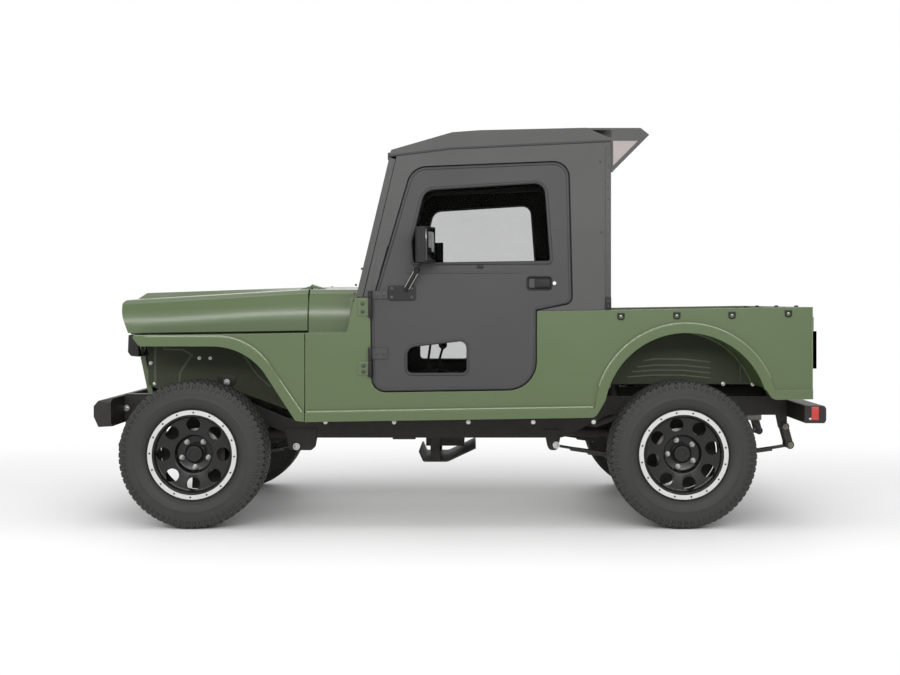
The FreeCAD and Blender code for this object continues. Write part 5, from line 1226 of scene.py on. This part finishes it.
window_seal = flat_bead("window_seal", along_side(WINDOW, SKIN - 1), 0.0085, SKIN - 1, 0.5, True)
sealed(window_seal, DOORS)
kick_seal = flat_bead("kick_window_seal", along_side(KICK_WINDOW, SKIN - 1), 0.008, SKIN - 1, 0.5, True)
sealed(kick_seal, DOORS)


def inset_outline(corners, inset):
    """Corners moved towards the inside of the outline by inset, each with its radius lessened."""
    moved_in = []
    for i, corner in enumerate(corners):
        here = Vector(corner[:2])
        before = (here - Vector(corners[i - 1][:2])).normalized()
        after = (Vector(corners[(i + 1) % len(corners)][:2]) - here).normalized()
        across = Vector((-before.y, before.x)) + Vector((-after.y, after.x))
        across = across / max(0.2, across.length_squared / 2)
        radius = max(0.0, corner[2] - inset) if len(corner) > 2 else 0.0
        moved_in.append((here.x + across.x * inset, here.y + across.y * inset, radius))
    return moved_in


outer_edge = along_side(inset_outline(DOOR_EDGE, 7), SKIN)
weatherstrip = flat_bead("door_weatherstrip", outer_edge, 0.007, SKIN, 0.3, True)
sealed(weatherstrip, DOORS)
inner_edge = along_side(inset_outline(DOOR_EDGE, -3), SKIN - 33)
lining = flat_bead("door_seat_seal", inner_edge, 0.014, SKIN - 33, 0.28, True)
sealed(lining)
print("seals made")

# %% [markdown]
# ## Door hardware
# The latch is a recessed cup with a wide paddle, its lock beside it. The hinges are bolted on the outside,
# and a fold runs across the door under the window. The fold is a shallow bead that catches a thin line of
# light.

# %% Latch, lock, crease and hinge bolts
CUP = [(1662, 1186, 14), (1782, 1186, 14), (1782, 1250, 14), (1662, 1250, 14)]
PADDLE = [(1698, 1196, 6), (1777, 1196, 6), (1777, 1240, 6), (1698, 1240, 6)]
cup_rim = flat_bead("latch_rim", along_side(CUP, SKIN), 0.0042, SKIN, 0.6, True)
trim(cup_rim, DOORS, 50)
paddle = plate("latch_paddle", along_side(PADDLE, SKIN + 2.5), (0, -0.0045, 0), 0.0022, 3)
narrowed(paddle, lambda co: co.y < -(SKIN + 5) / 1000, (0.94, 1, 0.84), mark(1737, 1218, SKIN + 7))
trim(paddle, DOORS)
lock = lathe("door_lock", [
    (0.001, 0.0), (0.001, 0.0095), (-0.0022, 0.0095), (-0.0036, 0.0078), (-0.0036, 0.0055), (-0.0028, 0.005),
    (-0.0028, 0.0)], steps=32)
lock.matrix_world = Matrix.Translation(mark(1797, 1218, SKIN))
on_both_sides(lock, DOORS, zinc)
CREASE = [mark(1062, 1268, SKIN - 1), mark(1100, 1270, SKIN), mark(1500, 1271, SKIN),
          mark(1640, 1270, SKIN - 1)]
crease = flat_bead("door_crease", CREASE, 0.005, SKIN - 1, 0.42, resolution=3)
on_both_sides(crease, DOORS, door_black, 60)

DOOR_LEAF_BOLTS = [(915, 1161, 768), (950, 1161, 768), (915, 870, 768), (950, 870, 768)]
BODY_LEAF_BOLTS = [(846, 1117, 768), (846, 1077, 768), (850, 809, 768), (850, 779, 768)]
side_bolts("door_leaf_bolt", DOOR_LEAF_BOLTS, 0.0078, 0.0055, DOORS, painted_bolt, 0.0105)
side_bolts("body_leaf_bolt", BODY_LEAF_BOLTS, 0.0078, 0.0055, "chassis", painted_bolt, 0.0105)

window_strip = block("window_strip", mark(1483, 1316, SKIN), (0.586, 0.011, 0.009), 0.003)
on_both_sides(window_strip, DOORS, seal_rubber)
CATCH = [(1414, 1292, 4), (1443, 1292, 4), (1443, 1307, 5), (1414, 1307, 5)]
catch = plate("window_catch", along_side(CATCH, SKIN - 1), (0, -0.008, 0), 0.002)
trim(catch, DOORS)

# %% [markdown]
# ## Mirrors
# The mirror head is a moulded shell on a bent arm, and its glass is a thin silvered pane set into the rear
# face. The arm is bolted to a square plate on the door.

# %% Mirror glass, bolts and arm
mirror_silver = coated("mirror_silver", (0.3, 0.3, 0.31), 0.06, 200, 0.000001, metallic=1.0,
                       mottle_amount=0.02)
MIRROR_FACE = [(1161, 919), (1209, 815)]


def mirror_pane(name, inset, lift, thickness):
    """Pane on the slanted rear face of the mirror head, inset from its edges."""
    (x0, y0), (x1, y1) = MIRROR_FACE
    along = Vector((x1 - x0, y1 - y0)).normalized()
    normal = Vector((-along.y, along.x))
    low, high = 1319 + inset, 1492 - inset
    first = Vector((x0, y0)) + along * inset + normal * lift
    last = Vector((x1, y1)) - along * inset + normal * lift
    corners = [mark(first.x, low, first.y), mark(last.x, low, last.y),
               mark(last.x, high, last.y), mark(first.x, high, first.y)]
    return plate(name, corners, (normal.x * thickness, -normal.y * thickness, 0), 0.0012)


on_both_sides(mirror_pane("mirror_glass", 7, 0.2, 0.0022), DOORS, mirror_silver)
side_bolts("mirror_plate_bolt", [(990, 1148, 770), (990, 1192, 770), (1090, 1148, 770), (1090, 1192, 770)],
           0.0058, 0.004, DOORS, painted_bolt, 0.008)
print("door hardware made")

# %% [markdown]
# ## Cab trim
# The roof sits on a black rubber strip, and the windshield and the back window are held by moulded rubbers.
# The rear corners of the cab carry a riveted strip. Strips and rubbers are beads drawn along their joints and
# pressed flat, and rivets are turned once and copied.

# %% Roof strip, corner strips and rivets
CAB_SIDE = 758
ROOF_LINE = [(972, 1848), (1288, 1886), (2074, 1923)]
CAB_TAIL = 2078
RIVETS, RIVET_STEP = 14, 56

roof_line = [mark(behind, up + 2, CAB_SIDE) for behind, up in ROOF_LINE]
roof_strip = flat_bead("roof_strip", roof_line, 0.0065, CAB_SIDE, 0.45)
sealed(roof_strip)
front_lip = block("roof_front_lip", (mark(979, 0)[0], 0, 1.849), (0.02, 1.5, 0.04), 0.006)
finished(front_lip, "chassis", seal_rubber)

CORNER_STRIP = [(2048, 1086), (CAB_TAIL, 1086), (CAB_TAIL, 1900), (2052, 1900)]
strip = plate("cab_corner_strip", along_side(CORNER_STRIP, CAB_SIDE), (0, -0.003, 0), 0.0012)
on_both_sides(strip, "chassis", cab_black)
side_bolts("cab_corner_rivet", [(2064, 1130 + RIVET_STEP * i, CAB_SIDE + 3) for i in range(RIVETS)],
           0.004, 0.0028, "chassis", painted_bolt)
CAB_BOLTS = [(2024, 1822), (2030, 1472), (806, 1168), (812, 1210), (842, 1290)]
side_bolts("cab_side_bolt", [(behind, up, CAB_SIDE) for behind, up in CAB_BOLTS], 0.006, 0.004, "chassis",
           painted_bolt)
latch = block("cab_latch", mark(2064, 1118, CAB_SIDE + 6), (0.03, 0.012, 0.062), 0.004)
pushed(latch, lambda co: co.z > 1.13 and co.y < -0.765, (0, 0.005, 0))
trim(latch)
side_bolts("cab_latch_bolt", [(2064, 1128, CAB_SIDE + 12), (2064, 1104, CAB_SIDE + 12)], 0.005, 0.004,
           "chassis", painted_bolt)

# %% Windshield rubber, back window rubber and wipers
LEAN = math.atan(0.239)
SCREEN_BASE = Vector(mark(812, 1150))


def on_screen(out, up, proud=0.0):
    """Point on the windshield's front face, out to the left, up along the glass and proud of the frame."""
    return (SCREEN_BASE.x + up * math.sin(LEAN) - proud * math.cos(LEAN), -out,
            SCREEN_BASE.z + up * math.cos(LEAN) + proud * math.sin(LEAN))


GLASS_LOW, GLASS_HIGH, GLASS_HALF = 0.17, 0.6415, 0.64
screen_corners = rounded([(-GLASS_HALF, GLASS_LOW, 0.05), (GLASS_HALF, GLASS_LOW, 0.05),
                          (GLASS_HALF, GLASS_HIGH, 0.05), (-GLASS_HALF, GLASS_HIGH, 0.05)])
screen_edge = [on_screen(out, up, -0.002) for out, up in screen_corners]
screen_seal = piped("windshield_rubber", screen_edge, 0.0085, True, 2)
finished(screen_seal, "chassis", seal_rubber, 50)
BACK_WINDOW = [(-0.43, 1.33, 0.06), (0.43, 1.33, 0.06), (0.43, 1.7, 0.06), (-0.43, 1.7, 0.06)]
back_edge = [(mark(2077, 0)[0], across, up) for across, up in rounded(BACK_WINDOW)]
back_seal = piped("back_window_rubber", back_edge, 0.0085, True, 2)
finished(back_seal, "chassis", seal_rubber, 50)


def wiper(side):
    """Arm and blade parked low on the glass, on a pivot below it."""
    pivot = on_screen(side * 0.33, 0.125, 0.0)
    hub = drum("wiper", pivot, on_screen(side * 0.33, 0.125, 0.02), 0.012, 20, 0.002)
    arm = piped("arm", [on_screen(side * 0.33, 0.125, 0.017), on_screen(side * 0.3, 0.16, 0.02),
                        on_screen(side * 0.14, 0.225, 0.018)], 0.0042)
    blade = piped("blade", [on_screen(side * 0.36, 0.2, 0.0085), on_screen(side * 0.15, 0.222, 0.0085),
                            on_screen(side * -0.06, 0.24, 0.0085)], 0.0055)
    spine = piped("spine", [on_screen(side * 0.33, 0.203, 0.0145), on_screen(side * -0.03, 0.237, 0.0145)],
                  0.0032)
    return joined("wiper_" + ("left" if side > 0 else "right"), [hub, arm, blade, spine])


for side in (1, -1):
    finished(wiper(side), "chassis", trim_black)
print("cab trim made")

# %% [markdown]
# ## Painted light in the rear visor
# The visor behind the roof shows a pale triangle at each side, where its lit inside is seen through the open
# side. A thin opaque sheet in a pale finish stands in for it as painted light, just proud of the frame.

# %% Visor light sheets
# Painted light: a pale opaque finish stands in for the lit inside of the visor.
visor_painted_light = coated("visor_painted_light", (0.3, 0.265, 0.26), 0.6, 300, 0.00002, mottle_amount=0.05)
VISOR_OUT = 756.4
visor_light_outline = along_side([(2088, 1800), (2088, 1925), (2213, 1925)], VISOR_OUT)
on_both_sides(plate("visor_side_light_sheet", visor_light_outline, (0, -0.0011, 0)), "chassis", visor_painted_light)
print("visor panes made")

# %% [markdown]
# ## Cabin
# Through the side windows the cabin looks nearly black. Each door has a moulded inner panel, the roof has a
# dark lining, and the dash carries its gauges and switches. These are plates cut to the real outlines, and
# the panels and lining are painted near black, darker than black plastic, as painted shade.

# %% Door panels and lining
# Painted shade: the lining is near black, darker than black plastic, so the inside of the cab reads as shade.
lining_black_and_shade = coated("lining_black_and_shade", (0.003, 0.003, 0.003), 0.8, 900, 0.00001, mottle_amount=0.15,
                      specular=0.12)
DOOR_BACK = SKIN - 28.5
card = plate("door_inner_panel", along_side(inset_outline(DOOR_EDGE, 17), DOOR_BACK), (0, 0.004, 0))
for corners in (WINDOW, KICK_WINDOW):
    cutter = plate("cutter", along_side(corners, DOOR_BACK + 10), (0, 0.03, 0))
    cut_away(card, cutter)
on_both_sides(card, DOORS, lining_black_and_shade, 40)
pull = piped("door_pull", [mark(1420, 1120, DOOR_BACK), mark(1430, 1120, DOOR_BACK - 32),
                           mark(1610, 1130, DOOR_BACK - 32), mark(1620, 1130, DOOR_BACK)], 0.009)
trim(pull, DOORS)
LINING_OUT = 727
SHEETS = [
    ("cab_side_lining", LINING_OUT, 3, lining_black_and_shade, "trim_plastic",
     [(1905, 1130), (2040, 1130), (2040, 1890), (1905, 1884)]),
    ("screen_side_cover", CAB_SIDE, -1.2, cab_black, "cab_black",
     [(924, 1414), (972, 1414), (935, 1285), (907, 1190), (893, 1190), (903, 1285)]),
    ("screen_side_lining", LINING_OUT, 3, lining_black_and_shade, "trim_plastic",
     [(872, 1160), (918, 1160), (1085, 1785), (1040, 1836), (1000, 1800)]),
    ("roof_side_lining", LINING_OUT, 3, lining_black_and_shade, "trim_plastic",
     [(1080, 1812), (1905, 1842), (1905, 1895), (1300, 1868), (1040, 1838)]),
]
for name, out, thickness, finish, slot, corners in SHEETS:
    sheet = plate(name, along_side(corners, out), (0, thickness / 1000, 0))
    on_both_sides(sheet, "chassis", finish)
print("door panels and lining made")

# %% Dash, levers and pedals
gauge = lathe("gauge", [(0.004, 0.0), (0.004, 0.052), (-0.006, 0.052), (-0.009, 0.048), (-0.004, 0.044),
                        (-0.002, 0.0)], steps=40)


def facing_back(piece, behind, up, out, lean=0.0):
    """Stands a piece that was turned round the Y axis, facing -Y, so that it faces the driver."""
    turn = Matrix.Rotation(lean, 4, "Y") @ Matrix.Rotation(math.pi / 2, 4, "Z")
    return placed(piece, Matrix.Translation(mark(behind, up, out)) @ turn)


facing_back(gauge, 972, 1072, 340, -0.29)
gauge.name = "dash_gauges"
gauges = copied(gauge, moved((0, 0, 0), (0, 0.13, 0)))
finished(gauges, "chassis", trim_black)
switches = block("dash_switch", mark(976, 1055, 90), (0.012, 0.03, 0.02), 0.003)
switches = copied(switches, moved(*[(0, 0.045 * i, 0) for i in range(5)]))
finished(switches, "chassis", trim_black)
for name, behind, out, top in (("gear_lever", 1150, 20, 940), ("range_lever", 1210, -40, 870)):
    rod = piped("rod", [mark(behind, 720, out), mark(behind - 6, 800, out), mark(behind + 14, top, out)],
                0.007)
    knob = lathe("knob", [(0.026, 0.0), (0.02, 0.014), (0.006, 0.024), (-0.01, 0.024), (-0.022, 0.014),
                          (-0.026, 0.0)], steps=24)
    placed(knob, Matrix.Translation(mark(behind + 14, top + 14, out)))
    boot = lathe("boot", [(0.0, 0.0), (0.0, 0.012), (-0.02, 0.02), (-0.035, 0.05), (-0.05, 0.06),
                          (-0.05, 0.0)], steps=24)
    placed(boot, Matrix.Translation(mark(behind, 770, out)) @ Matrix.Rotation(math.pi / 2, 4, "X"))
    finished(joined(name, [rod, knob, boot]), "chassis", trim_black)
pedals = []
for out in (250, 330, 410):
    foot_pad = block("foot_pad", mark(905, 700, out), (0.012, 0.06, 0.07), 0.004,
                     turn=(0, math.radians(-35), 0))
    stem = piped("stem", [mark(899, 705, out), mark(865, 800, out), mark(862, 960, out)], 0.007)
    pedals.append(joined("pedal", [foot_pad, stem]))
finished(joined("pedals", pedals), "chassis", trim_black)
print("cabin made")

# %% [markdown]
# ## Inner wings and wheel arches
# Behind each front wheel arch stands the pressed inner wing, a dusty panel stiffened by folds. It is a thin
# plate over the solid's panel with raised beads, painted darker than the body as painted shade and lighter on
# the beads as a painted highlight, and a row of bolts holds it.

# %% Inner wing shade plates
# Painted shade: the wheelhouse plates are a dark olive, darker than the body, under real road dust; the folds
# are painted lighter as a painted highlight.
wheelhouse_shade_and_dust = coated("wheelhouse_shade_and_dust", (0.018, 0.024, 0.009), 0.6, 260, 0.0001, dust=0.22,
                          dust_top=1.1, mottle_amount=0.5, mottle_scale=5.0, edge_strength=0.2, specular=0.3)
rib_painted_light = coated("rib_painted_light", (0.034, 0.042, 0.02), 0.5, 260, 0.0001, mottle_amount=0.6,
                    mottle_scale=9.0)
APRON = 448.4
LINER = [(-299, 942), (-299, 692, 18), (-180, 654, 20), (178, 654, 30), (330, 602, 40), (440, 562, 40),
         (544, 562), (544, 942)]
wing_shade_plate = plate("inner_wing_shade_plate", along_side(LINER, APRON), (0, -0.0025, 0), 0.0008, 1)
FOLDS = [
    [(-210, 930), (-215, 880), (-120, 880), (-70, 850), (-130, 760), (-140, 660)],
    [(-262, 935), (-262, 700)], [(-30, 905), (190, 905)],
    [(210, 925), (258, 890), (300, 830), (318, 770), (322, 730)],
    [(200, 850), (232, 800), (270, 740), (340, 680)],
    [(250, 935), (330, 880), (400, 790), (440, 690)],
]
folds = []
for path in FOLDS:
    folds.append(flat_bead("fold", along_side(path, APRON + 2.5), 0.009, APRON + 2.5, 0.3, resolution=3))
on_both_sides(wing_shade_plate, "chassis", wheelhouse_shade_and_dust, 40)
on_both_sides(joined("inner_wing_folds", folds), "chassis", rib_painted_light, 40)
BRACKET = [(62, 744, 8), (160, 744, 8), (160, 704, 10), (130, 674, 10), (92, 674, 10), (62, 704, 10)]
shock_plate = plate("shock_bracket", along_side(BRACKET, APRON + 2.6), (0, -0.004, 0), 0.0015)
on_both_sides(shock_plate, "chassis", chassis_black)
print("inner wings made")

# %% Rear arch shade plates
ARCH_CENTRE = (2451, 564)
BOX_SIDE = 503.4


def arch_points(reach, angles, out):
    """Points on the rear wheel arch at these angles in degrees."""
    points = []
    for angle in angles:
        turn = math.radians(angle)
        behind = ARCH_CENTRE[0] + reach * math.cos(turn)
        points.append(mark(behind, ARCH_CENTRE[1] + reach * math.sin(turn), out))
    return points


# Painted shade: a dark plate on the outer face of each rear wheel box; its folds are painted lighter as a
# painted highlight.
arch_shade_plate = plate("rear_arch_shade_plate", arch_points(401, range(20, 164, 4), BOX_SIDE), (0, -0.002, 0))
on_both_sides(arch_shade_plate, "chassis", wheelhouse_shade_and_dust, 40)
arch_folds = []
for rise in (736, 762, 788, 820):
    corners = [(1454 + rise, rise), (2330, rise + 9), (2480, rise + 8), (2620, rise - 6)]
    path = along_side(corners, BOX_SIDE + 2)
    arch_folds.append(flat_bead("fold", path, 0.006, BOX_SIDE + 2, 0.25, resolution=3))
upright = along_side([(2775, 712), (2775, 880)], BOX_SIDE + 2)
arch_folds.append(flat_bead("fold", upright, 0.004, BOX_SIDE + 2, 0.6, resolution=3))
on_both_sides(joined("arch_panel_folds", arch_folds), "chassis", rib_painted_light, 40)

cowl_rubber = piped("cowl_rubber", [mark(554, 966, 598), mark(554, 1090, 598), mark(556, 1140, 578)], 0.009)
sealed(cowl_rubber)
HOOD_EDGE = [mark(-350, 971, 591), mark(0, 976, 597), mark(544, 984, 608)]
hood_rubber = flat_bead("hood_rubber", HOOD_EDGE, 0.011, 598, 0.6, resolution=3)
sealed(hood_rubber)
print("arch liners and rubbers made")

# %% [markdown]
# ## Folds along the arches and the sill
# The wheel arches and the sill stand out as a lip, and the shoulder of the lip catches a line of light. The
# shoulder is a bead drawn along the lip, half sunk in it, so it reads as a rounded fold, and it is painted a
# lighter, glossier olive as a painted highlight.

# %% Lip shoulders
# Painted highlight: a lighter, glossier copy of the olive paint for the folds and the rear corners.
lip_painted_highlight = coated("olive_fold_highlight", (0.1, 0.142, 0.062), 0.24, 900, 0.00002, coat=0.9, mottle_amount=0.04)
LIP_OUT = 767
SHOULDERS = {
    "wing_fold": along_side([(-288, 953), (285, 953, 308), (543, 578)], LIP_OUT, 24),
    "sill_fold": along_side([(566, 579), (1230, 591), (1990, 603.5)], LIP_OUT),
    "arch_fold": arch_points(455, range(24, 163, 3), LIP_OUT),
}
for name, points in SHOULDERS.items():
    shoulder = flat_bead(name, points, 0.008, LIP_OUT, 0.8, resolution=3)
    on_both_sides(shoulder, "chassis", lip_painted_highlight, 60)
print("lip shoulders made")

# %% [markdown]
# ## Springs, shackles and brakes
# The leaf springs are clamped to the axles by U-bolts, and their eyes turn on large bolts. Behind each wheel
# a pressed shield covers the brake. The U-bolt is one bent wire, copied to the eight places.

# %% Eye bolts, U-bolts and brake shields
SHACKLE_EYES = [(3061, 373, 400), (3035, 469, 400)]
dull_zinc = coated("dull_zinc", (0.2, 0.18, 0.15), 0.45, 400, 0.0001, metallic=0.7, dust=0.3,
                   edge_width=0.0006)
side_bolts("eye_bolt", SHACKLE_EYES, 0.0085, 0.009, "chassis", dull_zinc, 0.0145)
side_bolts("spring_eye_bolt", [(466, 366, 404), (1830, 373, 402)], 0.0115, 0.008, "chassis", zinc, 0.0185)
side_bolts("shock_bolt", [(111, 708, 455)], 0.01, 0.008, "chassis", zinc, 0.0155)


def u_bolt(top, low, width=72):
    """Bent round bar over the axle tube, with its nuts under the spring plate."""
    half, shoulder = width / 2, top - 40
    bow = [mark(0, low, 0), mark(0, shoulder, 0)]
    for angle in (math.pi * i / 6 for i in range(1, 6)):
        bow.append(mark(0, shoulder + 30 * math.sin(angle), half - half * math.cos(angle)))
    bow += [mark(0, shoulder, width), mark(0, low, width)]
    wire = piped("u_bolt", bow, 0.006)
    nuts = [drum("nut", mark(0, low + 4, out), mark(0, low + 18, out), 0.0105, 6) for out in (0, width)]
    return joined("u_bolt", [wire] + nuts)


clamps = copied(u_bolt(430, 268), moved(*[(s / 1000, -0.317, 0) for s in (-42, 42, 2396, 2480)]))
clamps.name = "spring_u_bolts"
on_both_sides(clamps, "chassis", zinc, 40)
shield = lathe("shield", [
    (-0.0505, 0.06), (-0.0505, 0.15), (-0.045, 0.165), (-0.045, 0.186), (-0.0475, 0.186), (-0.0485, 0.167),
    (-0.0535, 0.152), (-0.0535, 0.06)], steps=64)
cut_away(shield, block("cutter", (0.11, -0.05, -0.2), (0.16, 0.1, 0.3)))
for end, side_name, side in CORNERS:
    other = bpy.data.objects.new("brake_shield_%s_%s" % (end, side_name), shield.data.copy())
    bpy.context.scene.collection.objects.link(other)
    turned_back = Matrix.Rotation(0 if end == "front" else side * REAR_TURN, 4, "Y")
    other.matrix_world = to_corner(end, side) @ turned_back
    finished(other, side_name + "_knuckle" if end == "front" else "chassis", chassis_black)
bpy.data.objects.remove(shield)
print("springs and brakes made")

# %% [markdown]
# ## Bed, tailgate and lamps
# Four tie-down clips sit along the bed's outer rail. Each lamp is a lens in a black housing, so the housing
# is a block with its rear face inset and pushed in, and the lens is a second block with ribs across it.

# %% Tie-down clips and rail buttons
CLIP_PLACES = [(2127, 1056), (2404, 1060), (2678, 1062), (2958, 1070)]
SIDE_FACE = 760.5
CLIP_WIRE = [(-14, 11, 0), (-14, -11, 2), (-8, -17, 3), (8, -17, 3), (14, -11, 2), (14, 11, 0)]
clip_loop = piped("clip", [mark(behind, up, SIDE_FACE + out) for behind, up, out in CLIP_WIRE], 0.0042)
clip_tab = block("tab", mark(0, 8, SIDE_FACE + 2), (0.036, 0.005, 0.012), 0.0015)
hooks = joined("tie_down_clips", [clip_loop, clip_tab])
hooks = copied(hooks, moved(*[(s / 1000, 0, up / 1000) for s, up in CLIP_PLACES]))
trim(hooks)
side_bolts("clip_screw", [(s, up + 1, SIDE_FACE + 0.5) for s, up in CLIP_PLACES], 0.0052, 0.004,
           "chassis", zinc)
print("tie-down clips:", 2 * len(CLIP_PLACES))

# %% Tail lamps
def lamp_unit(name, low, high, back, depth, material, rib_step):
    """Black housing with a ribbed lens let into its rear face; low and high are (out, up) corners in mm."""
    (out0, up0), (out1, up1) = low, high
    size = (depth, (out1 - out0) / 1000, (up1 - up0) / 1000)
    centre = (back - depth / 2, -(out0 + out1) / 2000, (up0 + up1) / 2000)
    housing = block("housing", centre, size)
    pick(housing, "faces", lambda middle, normal: normal.x > 0.9)
    bpy.ops.mesh.inset(thickness=0.007)
    bpy.ops.transform.translate(value=(-0.006, 0, 0))
    object_mode()
    bevelled(housing, 0.0016, 2, 40)
    housing.name = name + "_housing"
    trim(housing)
    pane = block(name + "_lens", (back - 0.0045, centre[1], centre[2]),
                 (0.005, size[1] - 0.018, size[2] - 0.018), 0.0012)
    ribs = [pane]
    for i in range(1, int((size[2] - 0.018) / rib_step)):
        up = centre[2] - size[2] / 2 + 0.009 + i * rib_step
        ribs.append(piped("rib", [(back - 0.002, centre[1] - size[1] / 2 + 0.012, up),
                                  (back - 0.002, centre[1] + size[1] / 2 - 0.012, up)], 0.0012, resolution=1))
    return on_both_sides(joined(name + "_lens", ribs), "chassis", material)


red_plastic = coated("red_plastic", (0.42, 0.012, 0.01), 0.18, 200, 0.00001, coat=0.6, mottle_amount=0.05)
LAMP_BACK = 1.791
upper = lamp_unit("tail_lamp", (668, 794), (752, 980), LAMP_BACK, 0.0197, red_plastic, 0.0125)
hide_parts("tail_lamps")
lamp_unit("bumper_lamp", (560, 532), (700, 595), 1.851, 0.0037, red_plastic, 0.0125)
end_lens = block("bumper_end_lens", (1.7915, -0.7245, 0.569), (0.036, 0.002, 0.066), 0.0008)
on_both_sides(end_lens, "chassis", red_plastic)
side_bolts("bumper_end_screw", [(3076, 542, 725)], 0.006, 0.004, "chassis", zinc)
print("tail lamps made")

# %% Rear edges, rail buttons and tailgate latches
# Painted highlight: each rear corner carries a bead in the lighter, glossier olive.
rear_edge = piped("rear_edge", [mark(3077, 646, 757), mark(3077, 1094, 757)], 0.0035)
on_both_sides(rear_edge, "chassis", lip_painted_highlight, 60)
button = lathe("rail_buttons", [(0.0, 0.0), (0.0, 0.011), (-0.004, 0.011), (-0.008, 0.007), (-0.009, 0.0)],
               steps=20)
placed(button, Matrix.Rotation(-math.pi / 2, 4, "X"))
rail_buttons = copied(button, moved(*[mark(s, 1100, 742) for s in (2806, 2902, 3001)]))
finished(rail_buttons, "chassis", trim_black)
latch_hook = block("tailgate_latch", (1.7905, -0.655, 1.015), (0.02, 0.026, 0.07), 0.004)
trim(latch_hook)
chain_end = piped("tailgate_cable", [(1.74, -0.722, 0.985), (1.76, -0.7, 0.93), (1.782, -0.66, 0.85)],
                  0.0035)
trim(chain_end)
print("rear pieces made")

# %% [markdown]
# ## Hinge sleeves and mirror clamps
# The barrels of the door hinges turn in black sleeves, and a clamp holds each mirror arm. These small dark
# parts outline the door, so they are worth their few faces.

# %% Sleeves and clamps
HINGE_LINE, HINGE_OUT = 884, 775
SLEEVES = [("hinge_sleeve_upper", 1047, 1138.5, "chassis"), ("hinge_sleeve_lower", 753, 827.5, "chassis"),
           ("hinge_cap_upper", 1139.5, 1180, DOORS), ("hinge_cap_lower", 828.5, 896, DOORS)]
for name, low, high, body in SLEEVES:
    ends = mark(HINGE_LINE, low, HINGE_OUT), mark(HINGE_LINE, high, HINGE_OUT)
    sleeve = drum(name, *ends, 0.0098, 24, 0.002)
    on_both_sides(sleeve, body, trim_black)

ARM_LOW, ARM_HIGH = Vector(mark(1066, 1192, 778)), Vector(mark(1118, 1282, 812))
along_arm = (ARM_HIGH - ARM_LOW).normalized()
across_arm = Vector((along_arm.z, 0, -along_arm.x)).normalized() * 0.0115
tube = drum("clamp", ARM_LOW, ARM_HIGH, 0.0125, 20, 0.002)
collar = drum("collar", ARM_HIGH - along_arm * 0.012, ARM_HIGH + along_arm * 0.01, 0.0155, 20, 0.002)
on_both_sides(joined("mirror_clamp", [tube, collar]), DOORS, trim_black)
# Painted highlight: thin bright metal beads along the clamp's sides stand in for the light on its edges.
proud = Vector((0, -0.007, 0))
clamp_highlight_beads = []
for side in (1, -1):
    aside = side * across_arm + proud
    clamp_highlight_beads.append(piped("edge", [ARM_LOW + aside, ARM_HIGH + aside], 0.0016))
on_both_sides(joined("mirror_clamp_highlight", clamp_highlight_beads), DOORS, zinc)
print("sleeves and clamps made")

# %% [markdown]
# ## Under the body
# Bolts hang below the sill on small tabs, and a brake pipe runs along each side of the frame. The tabs are
# thin plates, and the pipe is drawn along its run.

# %% Sill tabs, sill bolts and brake pipes
TAB_PLACES = [658, 1000, 1370, 1693, 1994]
TAB = [(-17, 546), (17, 546), (12, 514), (-12, 514)]
tab = plate("sill_tab", along_side(TAB, 733), (0, -0.003, 0), 0.001)
tabs = copied(tab, moved(*[(s / 1000, 0, 0) for s in TAB_PLACES]))
on_both_sides(tabs, "chassis", chassis_black)
side_bolts("sill_bolt", [(s, 527, 736) for s in TAB_PLACES], 0.0072, 0.005, "chassis", zinc, 0.0105)
PIPE_RUN = along_side([(520, 512), (1000, 516), (1500, 512), (1760, 520)], 401)
brake_pipe = piped("brake_pipe", PIPE_RUN, 0.0038)
on_both_sides(brake_pipe, "chassis", spring_black)
print("under-body pieces made")
